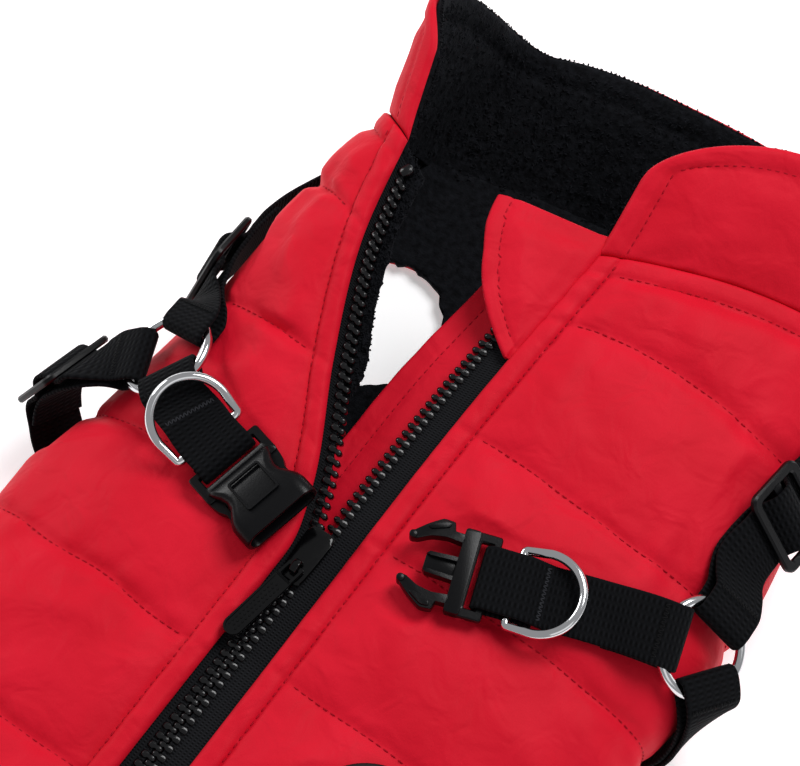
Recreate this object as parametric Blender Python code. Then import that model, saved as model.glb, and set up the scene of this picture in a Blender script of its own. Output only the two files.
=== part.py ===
"""A padded dog jacket that lies on its belly, filled out and empty, with its back zip half open.

Frame: metres, +Z up, +Y to the neck, +X to the side that is on the right seen from behind.
Lengths in the tables are in millimetres. A place on the jacket is given as a tailor would:
side (+1 right, -1 left), across (distance from the zip edge round the body) and along (from
the zip slider towards the neck). lift is the height above the inner face of the wall.
"""

import math

import bmesh
import bpy
import numpy as np
from mathutils import Matrix, Vector

MM = 0.001
GAP = 0.3  # between pieces that touch
ORIGIN = np.array([6.65, 2.05, 0.0])  # the middle of the jacket's box, from the slider
STEP = 1.0  # for slopes

# The body's sections, from hem to neck: where the section lies, the x of the widest point on
# each side, its height, and the zip edges.
SECTION_COLUMNS = ("along", "right", "left", "side_z", "right_x", "right_z", "left_x", "left_z")
SECTIONS = (
    (-200, 84, -80, 17, 10.0, 33, -5.6, 33),
    (-140, 90, -87, 19, 10.0, 40, -5.6, 40),
    (-85, 95, -91, 21, 10.0, 45, -5.6, 45),
    (-30, 99, -88, 22, 10.0, 48, -5.6, 48),
    (-12, 101, -85.5, 22.5, 10.0, 49.3, -5.6, 49.3),
    (0, 102, -83, 23, 10.0, 50, -6.0, 50),
    (15, 103, -80, 24, 10.0, 51, -10.5, 52),
    (55, 104, -74, 26, 10.5, 54, -28.0, 59),
    (95, 97, -71, 28, 12.0, 57, -42.0, 67),
    (130, 86, -66, 30, 14.0, 60, -49.0, 73),
)
TABLE = {name: np.array([row[i] for row in SECTIONS], float) for i, name in enumerate(SECTION_COLUMNS)}
SQUARENESS = 2.5  # of the upper quarter of a section, 2 being an ellipse
BELLY_FLAT = 0.78  # share of the half width that lies flat
SEAM_SHARE = 0.55  # of the lower quarter that belongs to the back panel
ARC_STEPS = 40
NECK = 130.0
HEM = -197.0
NECK_LEAN = 34.0  # how far the throat stands ahead of the nape
NECK_LEAN_FROM = 50.0
SETBACK = {1: (9.0, 40.0), -1: (16.0, 70.0)}  # the nape stands back at the zip: how far, over what width

WALL = 2.6  # a panel where it is stitched through
PUFF = 2.0  # what the padding adds between two quilting lines
BELLY_WALL = 2.0
QUILT_FIRST = {1: 104.0, -1: 98.0}
QUILT_STEP = 46.0
QUILT_LINES = 7
TOPSTITCH = 6.8  # from a finished edge
PILLOW = 0.6  # how steeply a channel rises from its stitching, 1 being a plain arch
EDGE_ROLL = 0.28  # share of the puff in the rolled zip edge
HEM_ROLL = 0.25  # and at the neck and hem
NARROW_FULL = 0.25  # what a narrow channel keeps of the full puff
EDGE_RAMP, FOLD_RAMP = 11.0, 6.0  # from the topstitch to full height
SEAM_RAMP = 14.0  # over which a panel thins to its side seam
CROWN = WALL + PUFF
# Grid rows of one channel, as shares from line to line, and columns from the zip to the seam.
CHANNEL_STEPS = (0, 0.1, 0.28, 0.5, 0.72, 0.9)
NARROW_STEPS = (0, 0.5)
PANEL_COLUMNS = 12
BELLY_ROWS = 18
BELLY_SHARES = np.array(
    [1, 0.89, 0.78, 0.67, 0.57, 0.46, 0.35, 0.12, -0.12, -0.35, -0.46, -0.57, -0.67, -0.78, -0.89, -1]
)

# Folds in the outer cloth: from one place to another, how wide and how high.
FOLD_COLUMNS = ("side", "across_a", "along_a", "across_b", "along_b", "width", "height")
FOLDS = (
    (-1, 9, 116, 22, 72, 7, 0.8),
    (-1, 18, 112, 34, 60, 8, 0.9),
    (-1, 32, 124, 44, 92, 6, 0.75),
    (-1, 12, 66, 30, 34, 8, 0.65),
    (-1, 46, 118, 62, 84, 8, 0.7),
    (-1, 40, 44, 70, 24, 9, 0.6),
    (1, 14, 40, 40, 18, 9, 0.5),
    (1, 60, 96, 84, 66, 10, 0.7),
    (1, 30, 118, 52, 96, 8, 0.6),
    (1, 58, -8, 92, -24, 10, 0.65),
    (-1, 50, -60, 86, -84, 10, 0.6),
    (1, 62, -104, 94, -124, 10, 0.6),
    (-1, 40, -146, 80, -160, 9, 0.55),
)

COLLAR_HEIGHT = 43.0
THROAT_MORE = 4.5  # the throat's collar is taller than the nape's
COLLAR_WALL = 2.0
COLLAR_LINING = 2.4
COLLAR_CORNER = 34.0
COLLAR_END_SHARE = 0.62  # of the height that the free end keeps before its round corner
FLEECE = 1.8
COLLAR_FIRST = (0, 2, 5, 10, 17, 25)  # grid columns beside its free ends
COLLAR_COLUMNS = 10
COLLAR_LEVELS = np.array([0, 0.12, 0.4, 0.7, 0.9, 1.0])
COLLAR_SWELL = 0.5
# The way that the collar stands at the zip on each side, over the shoulder, and at the throat.
COLLAR_WAYS = {
    1: ((-0.05, 0.88, 0.40), (-0.10, 0.86, 0.38), (0.0, 0.72, 0.62)),
    -1: ((-0.26, 0.88, 0.40), (0.10, 0.86, 0.38), (0.0, 0.72, 0.62)),
}
SHOULDER_AT = 0.4  # share of the way from the zip to the throat
THROAT_FROM = 0.7  # where the collar has its full height

LEG_HOLES = {"right": (52.0, 90.0), "left": (-44.0, 90.0)}
LEG_HOLE_HALF = (22.0, 24.0)
FLEECE_SHOWS = -1.5  # the lining's hole is this much smaller all round
POST_SIDES, POST_HIGH = 20, 30.0

TAPE = 0.8
TAPE_TUCK = 5.0
TEETH_REACH = {1: 8.6, -1: 4.2}  # from the fabric edge to the middle of the teeth
TEETH_HALF = 1.25
TEETH_HIGH = 2.6
ZIP_TOP = {1: 122.0, -1: 126.0}
ZIP_BOTTOM = -190.0
ZIP_STEPS = (20, 3, 12)  # grid rows of the open part, at the slider and below it

WIND_FLAP_REACH = 26.0
WIND_FLAP_TOP = 118.0
WIND_FLAP = 1.5
WIND_FLAP_ROWS = 24
WIND_FLAP_OUT = (TAPE_TUCK - 0.5, 1.0, -2.0, -5.0, -11.0, -18.0, -WIND_FLAP_REACH)
WIND_FLAP_DROP = 3.2  # to pass below the teeth
WIND_FLAP_SAG = 3.0
TEETH_CLEAR = 6.0
CHIN_GUARD = 2.2
CHIN_FROM, CHIN_TO = 86.0, 137.0
CHIN_REACH = 35.0
CHIN_SLANT = 0.24
CHIN_ROWS = 9
CHIN_SHARES = np.array([0, 0.2, 0.4, 0.6, 0.8, 0.93, 1.0])
CHIN_CURVE = 1.55  # of its free edge, 1 being straight
CHIN_LEAST = 1.2  # how far it stands out at its top end
CHIN_LOW, CHIN_CLIMB = 1.0, 0.13  # its underside's height at the panel and its slope outwards
# The left facing: its lower end, its reach past the edge, how far in it is sewn and the drop.
FACING_BOTTOM = 34.0
FACING_PAST = 10.0
FACING_LEAST = 1.0
FACING_FADE = 26.0
FACING_IN, FACING_IN_MORE, FACING_IN_FROM = TAPE_TUCK + 12.0, 20.0, 90.0
FACING_DROP = 1.4
FACING_ROWS, FACING_COLUMNS = 11, 7

STRAP_WIDE = 18.4
WEB_THICK = 1.4
RING_RADIUS = 13.5
RING_WIRE = 1.5
RING_STEPS = 24
WIRE_SIDES = 8
DEE_WIRE = 1.4
DEE_HALF = 12.4
DEE_DEPTH = 19.5
DEE_CORNER = 3.0
DEE_STEPS = 13
WEB_LEVEL = CROWN + GAP + WEB_THICK / 2 + 0.2
HAIRPIN = RING_WIRE + GAP + WEB_THICK / 2
LAYER = WEB_THICK + GAP
RING_LEVEL = WEB_LEVEL + HAIRPIN

RING_AT = {1: (90.0, 43.0, 0.0), -1: (52.0, 26.5, 1.3)}  # across, along, extra lift
# The straps' ways from their ring: rows of across, along and extra lift. The turn is the way
# that each one leaves the ring, in degrees from straight outwards, and under is how far its
# second layer runs back below it.
STRAPS = {
    ("shoulder_strap", 1): {"turn": 92, "under": 56, "glide": 40, "rows": (
        (87, 62, 0), (87, 84, 0), (90, 104, -1.7), (94, 120, -2.4))},
    ("shoulder_strap", -1): {"turn": 96, "under": 58, "glide": 39, "rows": (
        (50, 46, 0), (50, 66, 1.5), (54, 88, 2), (59, 106, -1.4), (62, 119, -2.2))},
    ("belly_strap", 1): {"turn": -36, "under": 36, "glide": None, "rows": (
        (106, 31, 0), (114, 26, 0), (120, 23, -1.4))},
    ("belly_strap", -1): {"turn": -25, "under": 50, "glide": 36, "rows": (
        (66, 17, 5), (77, 8, 9), (88, 1, 11), (97, -5, 6), (102.5, -8, -2))},
}
CENTRE_STRAPS = {
    1: {"turn": 203, "rows": ((62, 31, 0), (44, 23.5, 0), (36, 20.5, 0))},
    -1: {"turn": 222, "rows": ((43, 18, 0), (34, 10.8, 0), (26.5, 8.4, 0))},
}
HAIRPIN_AT = 9.5  # from a ring's middle to the middle of a strap's turn round its wire
FLAT_TO, BLEND = 14.5, 11.0  # the strap is flat in the ring's plane to here, then joins the cloth
STRAP_STEP = 3.5
HAIRPIN_TURN = (-60, -30, 0, 30, 60)
CENTRE_UNDER = 40.0
WEAVE_STEPS = (-12.5, -7.2, -2.4, 2.4, 7.2, 12.5)  # a strap's points through a tri-glide
DEE_BACK = 7.5  # from the buckle's bar to the D's
DEE_CLIMB = 6.5  # over which the strap rises to pass over the D's bar
DEE_REST = {1: 10.0, -1: 28.0}  # how far each D stands up from its strap

# Tri-glides: across the strap, along it and thick.
GLIDE = (27.0, 22.0, 2.2)
WAY_POINTS = 60
GLIDE_BAR = 3.2
GLIDE_END = 3.0
GLIDE_RISE = GLIDE[2] / 2 + GAP + WEB_THICK / 2

# The buckle, from its bar: half widths, then how far its parts lie along u.
BUCKLE_HALF = 12.5
BUCKLE_BAR = 1.0
FRAME_THICK = 2.6
BUCKLE_WINDOW = 4.6
BUCKLE_BASE = 9.0
MALE_THICK = 4.2
# One side of the plug's outline: how far along u past its base, and how far from its middle.
PRONG = ((0, 12.5), (5.5, 12.3), (8.5, 13.1), (13.5, 7.3), (15.0, 5.5), (12.5, 5.3), (7.0, 8.9), (0.8, 9.1))
GUIDE = ((0.8, 3.0), (8.0, 2.6), (9.0, 1.8))
FEMALE_END = 27.0
FEMALE_LOW, FEMALE_HIGH = -2.9, 6.0
FEMALE_SIDE, FEMALE_WALL = 1.8, 1.4

SLIDER_LONG = 12.0
SLIDER_PLATE = ((-10.0, -3.4), (4.0, -4.4), (7.0, -3.2))  # one side of its top, along and across
SLIDER_UNDER = (-9.5, 6.8, 3.6)  # from, to and half width of its lower plate
SLIDER_POST = (5.2, 6.6)
PLATE_GAP = TEETH_HIGH / 2 + 0.6
PLATE = 1.3
ARCH_IN, ARCH_OUT, ARCH_HALF = 1.35, 2.3, 1.1
ARCH_STEPS = 9
PULL_AXIS_AT = -6.5
PULL_LENGTH, PULL_HALF, PULL_THICK = 27.0, 2.9, 1.3
PULL_YAW = 10.0
PULL_LIFT = 2.0  # degrees that it rises from the zip, to clear the fabric edge
PULL_WINDOW = 4.4
PULL_EAR, PULL_EYE = 2.7, 1.75  # half widths beside its window and inside it
PULL_RISE = 1.4

PATCH_AT = (50.6, -56.5)
PATCH_RADIUS = 20.5
PATCH_THICK = 1.2
PATCH_SIDES = 32
PATCH_PROFILE = ((0.35, 1.0), (0.7, 1.0), (0.94, 0.95), (1.0, 0.6))  # share of the radius, of the thickness

COLLECTION = "dog_winter_jacket"


def linear(code):
    """A colour such as "C8102A" in sRGB, as linear red, green, blue and alpha."""
    parts = [int(code[i : i + 2], 16) / 255 for i in (0, 2, 4)]
    return [p / 12.92 if p <= 0.04045 else ((p + 0.055) / 1.055) ** 2.4 for p in parts] + [1.0]


# Material: sRGB colour, roughness, metallic.
MATERIALS = {
    "red_shell": ("C8102A", 0.75, 0.0),
    "black_fleece": ("0B0B0F", 0.95, 0.0),
    "black_webbing": ("0D0D11", 0.85, 0.0),
    "black_plastic": ("17181B", 0.45, 0.0),
    "zip_black": ("0C0C0F", 0.4, 0.0),
    "zip_metal": ("3A3B3F", 0.3, 1.0),
    "chrome": ("D8D8DA", 0.12, 1.0),
    "black_rubber": ("101013", 0.6, 0.0),
}


def material(name):
    found = bpy.data.materials.get(name)
    if found:
        return found
    colour, roughness, metallic = MATERIALS[name]
    made = bpy.data.materials.new(name)
    made.use_nodes = True
    shader = made.node_tree.nodes["Principled BSDF"]
    shader.inputs["Base Color"].default_value = linear(colour)
    shader.inputs["Roughness"].default_value = roughness
    shader.inputs["Metallic"].default_value = metallic
    made.diffuse_color = linear(colour)
    return made


def smooth(x):
    x = np.clip(x, 0.0, 1.0)
    return x * x * (3 - 2 * x)


def column(name, along):
    """A column of the section table at any place along, by a cubic through its rows."""
    xs, values = TABLE["along"], TABLE[name]
    slopes = np.gradient(values, xs)
    along = np.clip(along, xs[0], xs[-1])
    i = np.clip(np.searchsorted(xs, along) - 1, 0, len(xs) - 2)
    wide = xs[i + 1] - xs[i]
    f = (along - xs[i]) / wide
    return (
        values[i] * (1 + 2 * f) * (1 - f) ** 2
        + values[i + 1] * f * f * (3 - 2 * f)
        + slopes[i] * wide * f * (1 - f) ** 2
        - slopes[i + 1] * wide * f * f * (1 - f)
    )


def half_section(side, along):
    """One half of a section as (x, z) rows from the zip edge to the belly's middle, their
    distance from the edge, and the distance of the side seam."""
    name = "right" if side > 0 else "left"
    wide, side_z = column(name, along), column("side_z", along)
    edge_x, edge_z = column(name + "_x", along), column(name + "_z", along)
    middle = (column("right", along) + column("left", along)) / 2
    turn = np.linspace(0, math.pi / 2, ARC_STEPS)
    upper_x = edge_x + (wide - edge_x) * np.sin(turn) ** (2 / SQUARENESS)
    upper_z = side_z + (edge_z - side_z) * np.cos(turn) ** (2 / SQUARENESS)
    flat = middle + (wide - middle) * BELLY_FLAT
    lower_x = flat + (wide - flat) * np.cos(turn[1:])
    lower_z = side_z + (BELLY_WALL - side_z) * np.sin(turn[1:])
    xs = np.concatenate([upper_x, lower_x, [middle]])
    zs = np.concatenate([upper_z, lower_z, [BELLY_WALL]])
    run = np.concatenate([[0], np.cumsum(np.hypot(np.diff(xs), np.diff(zs)))])
    side_end, flat_end = run[len(upper_x) - 1], run[-2]
    return xs, zs, run, side_end + (flat_end - side_end) * SEAM_SHARE


def girth(side, along):
    return half_section(side, along)[2][-1]


def body(side, across, along):
    """Points on the inner face of the body, for arrays of across and along in one shape."""
    across, along = np.broadcast_arrays(np.asarray(across, float), np.asarray(along, float))
    out = np.empty(across.shape + (3,))
    share = np.empty(across.shape)
    for at in np.unique(along):
        here = along == at
        xs, zs, run, _ = half_section(side, at)
        out[here, 0] = np.interp(across[here], run, xs)
        out[here, 2] = np.interp(across[here], run, zs)
        share[here] = np.clip(across[here] / run[-1], 0, 1)
    near_neck = smooth((along - NECK_LEAN_FROM) / (NECK - NECK_LEAN_FROM))
    out[..., 1] = along + NECK_LEAN * near_neck * np.sin(share * math.pi / 2)
    far, over = SETBACK[side]
    out[..., 1] -= far * smooth(along / NECK) * np.exp(-across / over)
    return out


def unit(v):
    return v / np.maximum(np.linalg.norm(v, axis=-1, keepdims=True), 1e-9)


def outward(side, across, along):
    """The body's outward normals."""
    round_it = body(side, across + STEP, along) - body(side, np.maximum(across - STEP, 0), along)
    ahead = body(side, across, along + STEP) - body(side, across, along - STEP)
    return unit(np.cross(round_it, ahead)) * side


def place(side, across, along, lift):
    """Points at a lift above the body's inner face. A negative across goes on past the zip
    edge, straight, as a tape or a flap sewn to it does."""
    across, along, lift = np.broadcast_arrays(
        np.asarray(across, float), np.asarray(along, float), np.asarray(lift, float)
    )
    on = np.maximum(across, 0)
    points = body(side, on, along)
    edge = np.zeros_like(across)
    past = unit(body(side, edge, along) - body(side, edge + 2 * STEP, along))
    return points + past * np.maximum(-across, 0)[..., None] + outward(side, on, along) * lift[..., None]


def pillow(f):
    """How full a quilted channel is at f, from one line at 0 to the next at 1."""
    return (1 - (2 * np.clip(f, 0, 1) - 1) ** 2) ** PILLOW


def channels(side):
    """The places along of the lines that stitch a back panel through, from neck to hem."""
    lines = [QUILT_FIRST[side] - QUILT_STEP * k for k in range(QUILT_LINES)]
    return [NECK - TOPSTITCH] + lines + [HEM + TOPSTITCH]


def fold_height(side, across, along):
    """The folds' height: a smooth ridge along each one's line, fading out at its ends."""
    total = np.zeros(np.broadcast(across, along).shape)
    for row in FOLDS:
        fold = dict(zip(FOLD_COLUMNS, row))
        if fold["side"] != side:
            continue
        start = np.array([fold["across_a"], fold["along_a"]])
        way = np.array([fold["across_b"], fold["along_b"]]) - start
        long = np.hypot(*way)
        du, dv = across - start[0], along - start[1]
        f = (du * way[0] + dv * way[1]) / long**2
        off = (du * way[1] - dv * way[0]) / long
        ends = np.sin(math.pi * np.clip(f, 0, 1)) ** 0.5
        total = total + fold["height"] * ends * np.exp(-((off / fold["width"]) ** 2) * 2)
    return total


def thickness(side, across, along):
    """The back panels' wall: thin along stitching, full between, with the folds on it."""
    lines = channels(side)
    puff = np.zeros(np.broadcast(across, along).shape)
    for high, low in zip(lines, lines[1:]):
        f = (high - along) / (high - low)
        full = min(1.0, (high - low) / QUILT_STEP + NARROW_FULL)
        puff = np.where((f >= 0) & (f <= 1), pillow(f) * full, puff)
    rolled = EDGE_ROLL * pillow(across / TOPSTITCH)
    inside = smooth((across - TOPSTITCH) / EDGE_RAMP) ** PILLOW
    spread = np.where(across < TOPSTITCH, rolled, puff * inside)
    hem = np.where((along > NECK - TOPSTITCH) | (along < HEM + TOPSTITCH), HEM_ROLL, 0.0)
    spread = np.maximum(spread, np.where(across >= TOPSTITCH, hem, 0.0))
    folds = fold_height(side, across, along) * smooth((across - TOPSTITCH) / FOLD_RAMP)
    return np.minimum(WALL + PUFF * spread + folds, CROWN)


def finish(mesh_data, name, look, sharp=math.radians(50)):
    """An object in the jacket's collection with its material, shaded smooth but for its edges."""
    thing = bpy.data.objects.new(name, mesh_data)
    bpy.data.collections[COLLECTION].objects.link(thing)
    mesh_data.materials.append(material(look))
    mesh_data.shade_smooth()
    mesh_data.set_sharp_from_angle(angle=sharp)
    return thing


def to_world(points):
    return (np.asarray(points, float) - ORIGIN) * MM


def wall(name, inner, outer, look):
    """A closed wall between two grids of points."""
    rows, columns = inner.shape[:2]
    points = np.concatenate([outer.reshape(-1, 3), inner.reshape(-1, 3)])
    index = np.arange(rows * columns).reshape(rows, columns)
    under = index + rows * columns
    quads = [
        np.stack([index[:-1, :-1], index[:-1, 1:], index[1:, 1:], index[1:, :-1]], -1).reshape(-1, 4),
        np.stack([under[:-1, :-1], under[1:, :-1], under[1:, 1:], under[:-1, 1:]], -1).reshape(-1, 4),
        np.stack([index[0, 1:], index[0, :-1], under[0, :-1], under[0, 1:]], -1),
        np.stack([index[-1, :-1], index[-1, 1:], under[-1, 1:], under[-1, :-1]], -1),
        np.stack([index[:-1, 0], index[1:, 0], under[1:, 0], under[:-1, 0]], -1),
        np.stack([index[1:, -1], index[:-1, -1], under[:-1, -1], under[1:, -1]], -1),
    ]
    return from_points(name, points, np.concatenate(quads).tolist(), look)


def from_points(name, points, faces, look):
    """A mesh object from points in millimetres from the slider, its faces turned outwards."""
    data = bpy.data.meshes.new(name)
    data.from_pydata(to_world(points).tolist(), [], faces)
    shape = bmesh.new()
    shape.from_mesh(data)
    bmesh.ops.recalc_face_normals(shape, faces=shape.faces)
    shape.to_mesh(data)
    shape.free()
    return finish(data, name, look)


def ribbon(name, centres, sideways, wide, thick, look):
    """A flat band of one thickness along a line of centres, sideways being across it."""
    centres, sideways = np.asarray(centres, float), unit(np.asarray(sideways, float))
    ahead = unit(np.gradient(centres, axis=0))
    up = unit(np.cross(ahead, sideways))
    half = np.broadcast_to(np.asarray(wide, float) / 2, len(centres))[:, None]
    corners = [
        centres + sideways * half * a + up * (thick / 2) * b for a, b in ((-1, -1), (1, -1), (1, 1), (-1, 1))
    ]
    points = np.stack(corners, axis=1).reshape(-1, 3)
    count = len(centres)
    faces = [[0, 1, 2, 3], [4 * count - 4, 4 * count - 1, 4 * count - 2, 4 * count - 3]]
    for i in range(count - 1):
        for k in range(4):
            a, b = 4 * i + k, 4 * i + (k + 1) % 4
            faces.append([a, a + 4, b + 4, b])
    return from_points(name, points, faces, look)


def spread_between(stops, counts):
    """Places from one stop to the next, with a number of steps for each stretch."""
    out = [np.linspace(a, b, n + 1)[:-1] for a, b, n in zip(stops, stops[1:], counts)]
    return np.concatenate(out + [[stops[-1]]])


def back_panel(side, name):
    """A quilted back half, from the zip edge to the side seam."""
    lines = channels(side)
    rows = [NECK]
    for high, low in zip(lines, lines[1:]):
        steps = CHANNEL_STEPS if high - low > QUILT_STEP / 2 else NARROW_STEPS
        rows += [high + (low - high) * f for f in steps]
    rows = np.array(rows + [lines[-1], HEM])
    near = [0, TOPSTITCH / 2, TOPSTITCH, TOPSTITCH + EDGE_RAMP / 3, TOPSTITCH + EDGE_RAMP * 3 / 4]
    seam = np.array([half_section(side, at)[3] for at in rows]) - GAP / 2
    shares = np.linspace(0, 1, PANEL_COLUMNS)[1:]
    far = near[-1] + (seam[:, None] - near[-1]) * shares
    across = np.concatenate([np.broadcast_to(near, (len(rows), len(near))), far], axis=1)
    along = np.broadcast_to(rows[:, None], across.shape)
    lift = thickness(side, across, along)
    taper = smooth((seam[:, None] - across) / SEAM_RAMP)
    lift = WALL + (lift - WALL) * taper
    inner = place(side, across, along, 0.0)
    outer = place(side, across, along, lift)
    return wall(name, inner, outer, "red_shell")


def belly_grid(rows, shares):
    """Points and outward normals between the side seams, for shares from 1, the right seam, to
    -1, the left."""
    points, normals = [], []
    for at in rows:
        row_points, row_normals = [], []
        for side in (1, -1):
            part = shares[shares >= 0] if side > 0 else shares[shares < 0]
            total, seam = girth(side, at), half_section(side, at)[3]
            across = total - np.abs(part) * (total - seam - GAP / 2)
            row_points.append(body(side, across, np.full_like(across, at)))
            row_normals.append(outward(side, across, np.full_like(across, at)))
        points.append(np.concatenate(row_points))
        normals.append(np.concatenate(row_normals))
    return np.array(points), np.array(normals)


def cut(thing, cutter):
    """Takes the cutter's shape out of the thing, with the exact solver."""
    tool = thing.modifiers.new("cut_" + cutter.name, "BOOLEAN")
    tool.operation, tool.solver, tool.object = "DIFFERENCE", "EXACT", cutter


def leg_cutter(name, centre, grow):
    """An upright elliptic post that cuts a leg hole."""
    shape = bmesh.new()
    bmesh.ops.create_cone(shape, cap_ends=True, segments=POST_SIDES, radius1=1, radius2=1, depth=1)
    data = bpy.data.meshes.new(name)
    half = np.array(LEG_HOLE_HALF) + grow
    middle = to_world([centre[0], centre[1], 0])
    size = Matrix.Diagonal((half[0] * MM, half[1] * MM, POST_HIGH * MM, 1))
    bmesh.ops.transform(shape, matrix=Matrix.Translation(middle) @ size, verts=shape.verts)
    shape.to_mesh(data)
    shape.free()
    post = bpy.data.objects.new(name, data)
    bpy.data.collections["cutters"].objects.link(post)
    post.hide_render, post.display_type = True, "WIRE"
    return post


def belly():
    """The chest and belly panel, flat where it rests, and its fleece, with two leg holes."""
    points, normals = belly_grid(spread_between([NECK, HEM], [BELLY_ROWS]), BELLY_SHARES)
    panel = wall("belly_panel", points, points + normals * BELLY_WALL, "red_shell")
    points, normals = points[:-1], normals[:-1]
    under, top = points - normals * GAP, points - normals * (GAP + FLEECE)
    lining = wall("belly_fleece", top, under, "black_fleece")
    for side, centre in LEG_HOLES.items():
        cut(panel, leg_cutter("leg_hole_" + side, centre, 0.0))
        cut(lining, leg_cutter("fleece_hole_" + side, centre, FLEECE_SHOWS))


def collar_reach(from_end):
    """The collar's height at a distance from its free end, which has a round corner."""
    f = np.clip(from_end / COLLAR_CORNER, 0, 1)
    return COLLAR_HEIGHT * (COLLAR_END_SHARE + (1 - COLLAR_END_SHARE) * np.sqrt(1 - (1 - f) ** 2))


def collar_base():
    """The neck seam from the right zip edge round the throat to the left one: its points, the
    body's normals there, the way that the collar stands on it, and how high."""
    points, normals, ways, heights = [], [], [], []
    for side in (1, -1):
        total = girth(side, NECK)
        across = np.concatenate([COLLAR_FIRST, np.linspace(COLLAR_CORNER, total, COLLAR_COLUMNS)])
        if side < 0:
            across = across[:-1]
        at = np.full_like(across, NECK)
        share = (across / total)[:, None]
        nape, flank, throat = (np.array([way]) for way in COLLAR_WAYS[side])
        way = np.where(
            share < SHOULDER_AT,
            nape + (flank - nape) * smooth(share / SHOULDER_AT),
            flank + (throat - flank) * smooth((share - SHOULDER_AT) / (1 - SHOULDER_AT)),
        )
        keep = slice(None) if side > 0 else slice(None, None, -1)
        points.append(body(side, across, at)[keep])
        normals.append(outward(side, across, at)[keep])
        ways.append(unit(way)[keep])
        heights.append((collar_reach(across) + THROAT_MORE * smooth(across / total / THROAT_FROM))[keep])
    return [np.concatenate(part) for part in (points, normals, ways, heights)]


def collar():
    """The stand-up collar's cloth and its fleece, on the neck seam."""
    base, normals, ways, heights = collar_base()
    levels = COLLAR_LEVELS
    climb = GAP + levels[:, None] * (heights - GAP)
    grid = base[None] + ways[None] * climb[..., None]
    round_it = np.gradient(grid, axis=1)
    ahead = np.broadcast_to(ways[None], grid.shape)
    facing = unit(np.cross(ahead, round_it))
    facing *= np.sign((facing * normals[None]).sum(-1, keepdims=True))
    mix = smooth(levels / levels[2])[:, None, None]
    facing = unit(normals[None] * (1 - mix) + facing * mix)
    swell = COLLAR_WALL * (1 + COLLAR_SWELL * pillow(levels / levels[-2]))[:, None, None]
    wall("collar", grid, grid + facing * swell, "red_shell")
    wall("collar_fleece", grid - facing * (GAP + COLLAR_LINING), grid - facing * GAP, "black_fleece")


def zip_half(side, name):
    """A zip's tape with the band that its teeth stand on, sewn behind the fabric edge."""
    reach = TEETH_REACH[side]
    rows = spread_between([ZIP_TOP[side], 0, -SLIDER_LONG, ZIP_BOTTOM], ZIP_STEPS)
    mid = -GAP - TAPE / 2
    profile = (
        (TAPE_TUCK, TAPE / 2),
        (-reach + TEETH_HALF, TAPE / 2),
        (-reach + TEETH_HALF, TEETH_HIGH / 2),
        (-reach - TEETH_HALF, TEETH_HIGH / 2),
        (-reach - TEETH_HALF, -TEETH_HIGH / 2),
        (-reach + TEETH_HALF, -TEETH_HIGH / 2),
        (-reach + TEETH_HALF, -TAPE / 2),
        (TAPE_TUCK, -TAPE / 2),
    )
    ring = [place(side, np.full_like(rows, a), rows, mid + z) for a, z in profile]
    points = np.stack(ring, axis=1)
    count = len(profile)
    faces = [list(range(count)), [len(rows) * count - 1 - i for i in range(count)]]
    for i in range(len(rows) - 1):
        for k in range(count):
            a, b = i * count + k, i * count + (k + 1) % count
            faces.append([a, b, b + count, a + count])
    return from_points(name, points.reshape(-1, 3), faces, "zip_black")


def wind_flap():
    """The red flap behind the right zip: tucked under the tape, then out below the teeth."""
    rows = spread_between([WIND_FLAP_TOP, ZIP_BOTTOM], [WIND_FLAP_ROWS])
    across, along = np.broadcast_arrays(np.array(WIND_FLAP_OUT)[None], rows[:, None])
    top = -2 * GAP - TAPE - WIND_FLAP_DROP * smooth((1 - across) / TEETH_CLEAR)
    top = top - WIND_FLAP_SAG * smooth((-across - TEETH_CLEAR) / (WIND_FLAP_REACH - TEETH_CLEAR))
    upper = place(1, across, along, top)
    lower = place(1, across, along, top - WIND_FLAP)
    wall("wind_flap", lower, upper, "red_shell")


def chin_guard():
    """The padded flap that closes over the zip's top end, its free edge curved."""
    rows = np.linspace(CHIN_TO, CHIN_FROM, CHIN_ROWS)
    f = (rows - CHIN_FROM) / (CHIN_TO - CHIN_FROM)
    reach = CHIN_LEAST + CHIN_REACH * (1 - (1 - f) ** CHIN_CURVE)
    start = GAP + CHIN_LEAST * smooth((rows - WIND_FLAP_TOP) / 10)
    across = -start[:, None] - reach[:, None] * CHIN_SHARES
    along = rows[:, None] + CHIN_SLANT * (reach * f)[:, None] * CHIN_SHARES
    low = CHIN_LOW - CHIN_CLIMB * across
    lower = place(1, across, along, low)
    upper = place(1, across, along, low + CHIN_GUARD)
    wall("chin_guard", lower, upper, "red_shell")


def left_facing():
    """The fleece that shows past the open left zip: a strip under the tape and the panel."""
    rows = spread_between([NECK - GAP, FACING_BOTTOM], [FACING_ROWS])
    open_share = smooth((rows - FACING_BOTTOM) / FACING_FADE)
    past = FACING_LEAST + (FACING_PAST - FACING_LEAST) * open_share
    top_share = smooth((rows - FACING_IN_FROM) / (NECK - FACING_IN_FROM))
    inside = (FACING_IN + FACING_IN_MORE * top_share)[:, None]
    shares = np.linspace(0, 1, FACING_COLUMNS)
    across = inside - shares * (inside + past[:, None])
    along = np.broadcast_to(rows[:, None], across.shape)
    top = -2 * GAP - TAPE - FACING_DROP * smooth((2 - across) / 4)
    upper = place(-1, across, along, top)
    lower = place(-1, across, along, top - FLEECE)
    wall("left_facing", lower, upper, "black_fleece")


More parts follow.
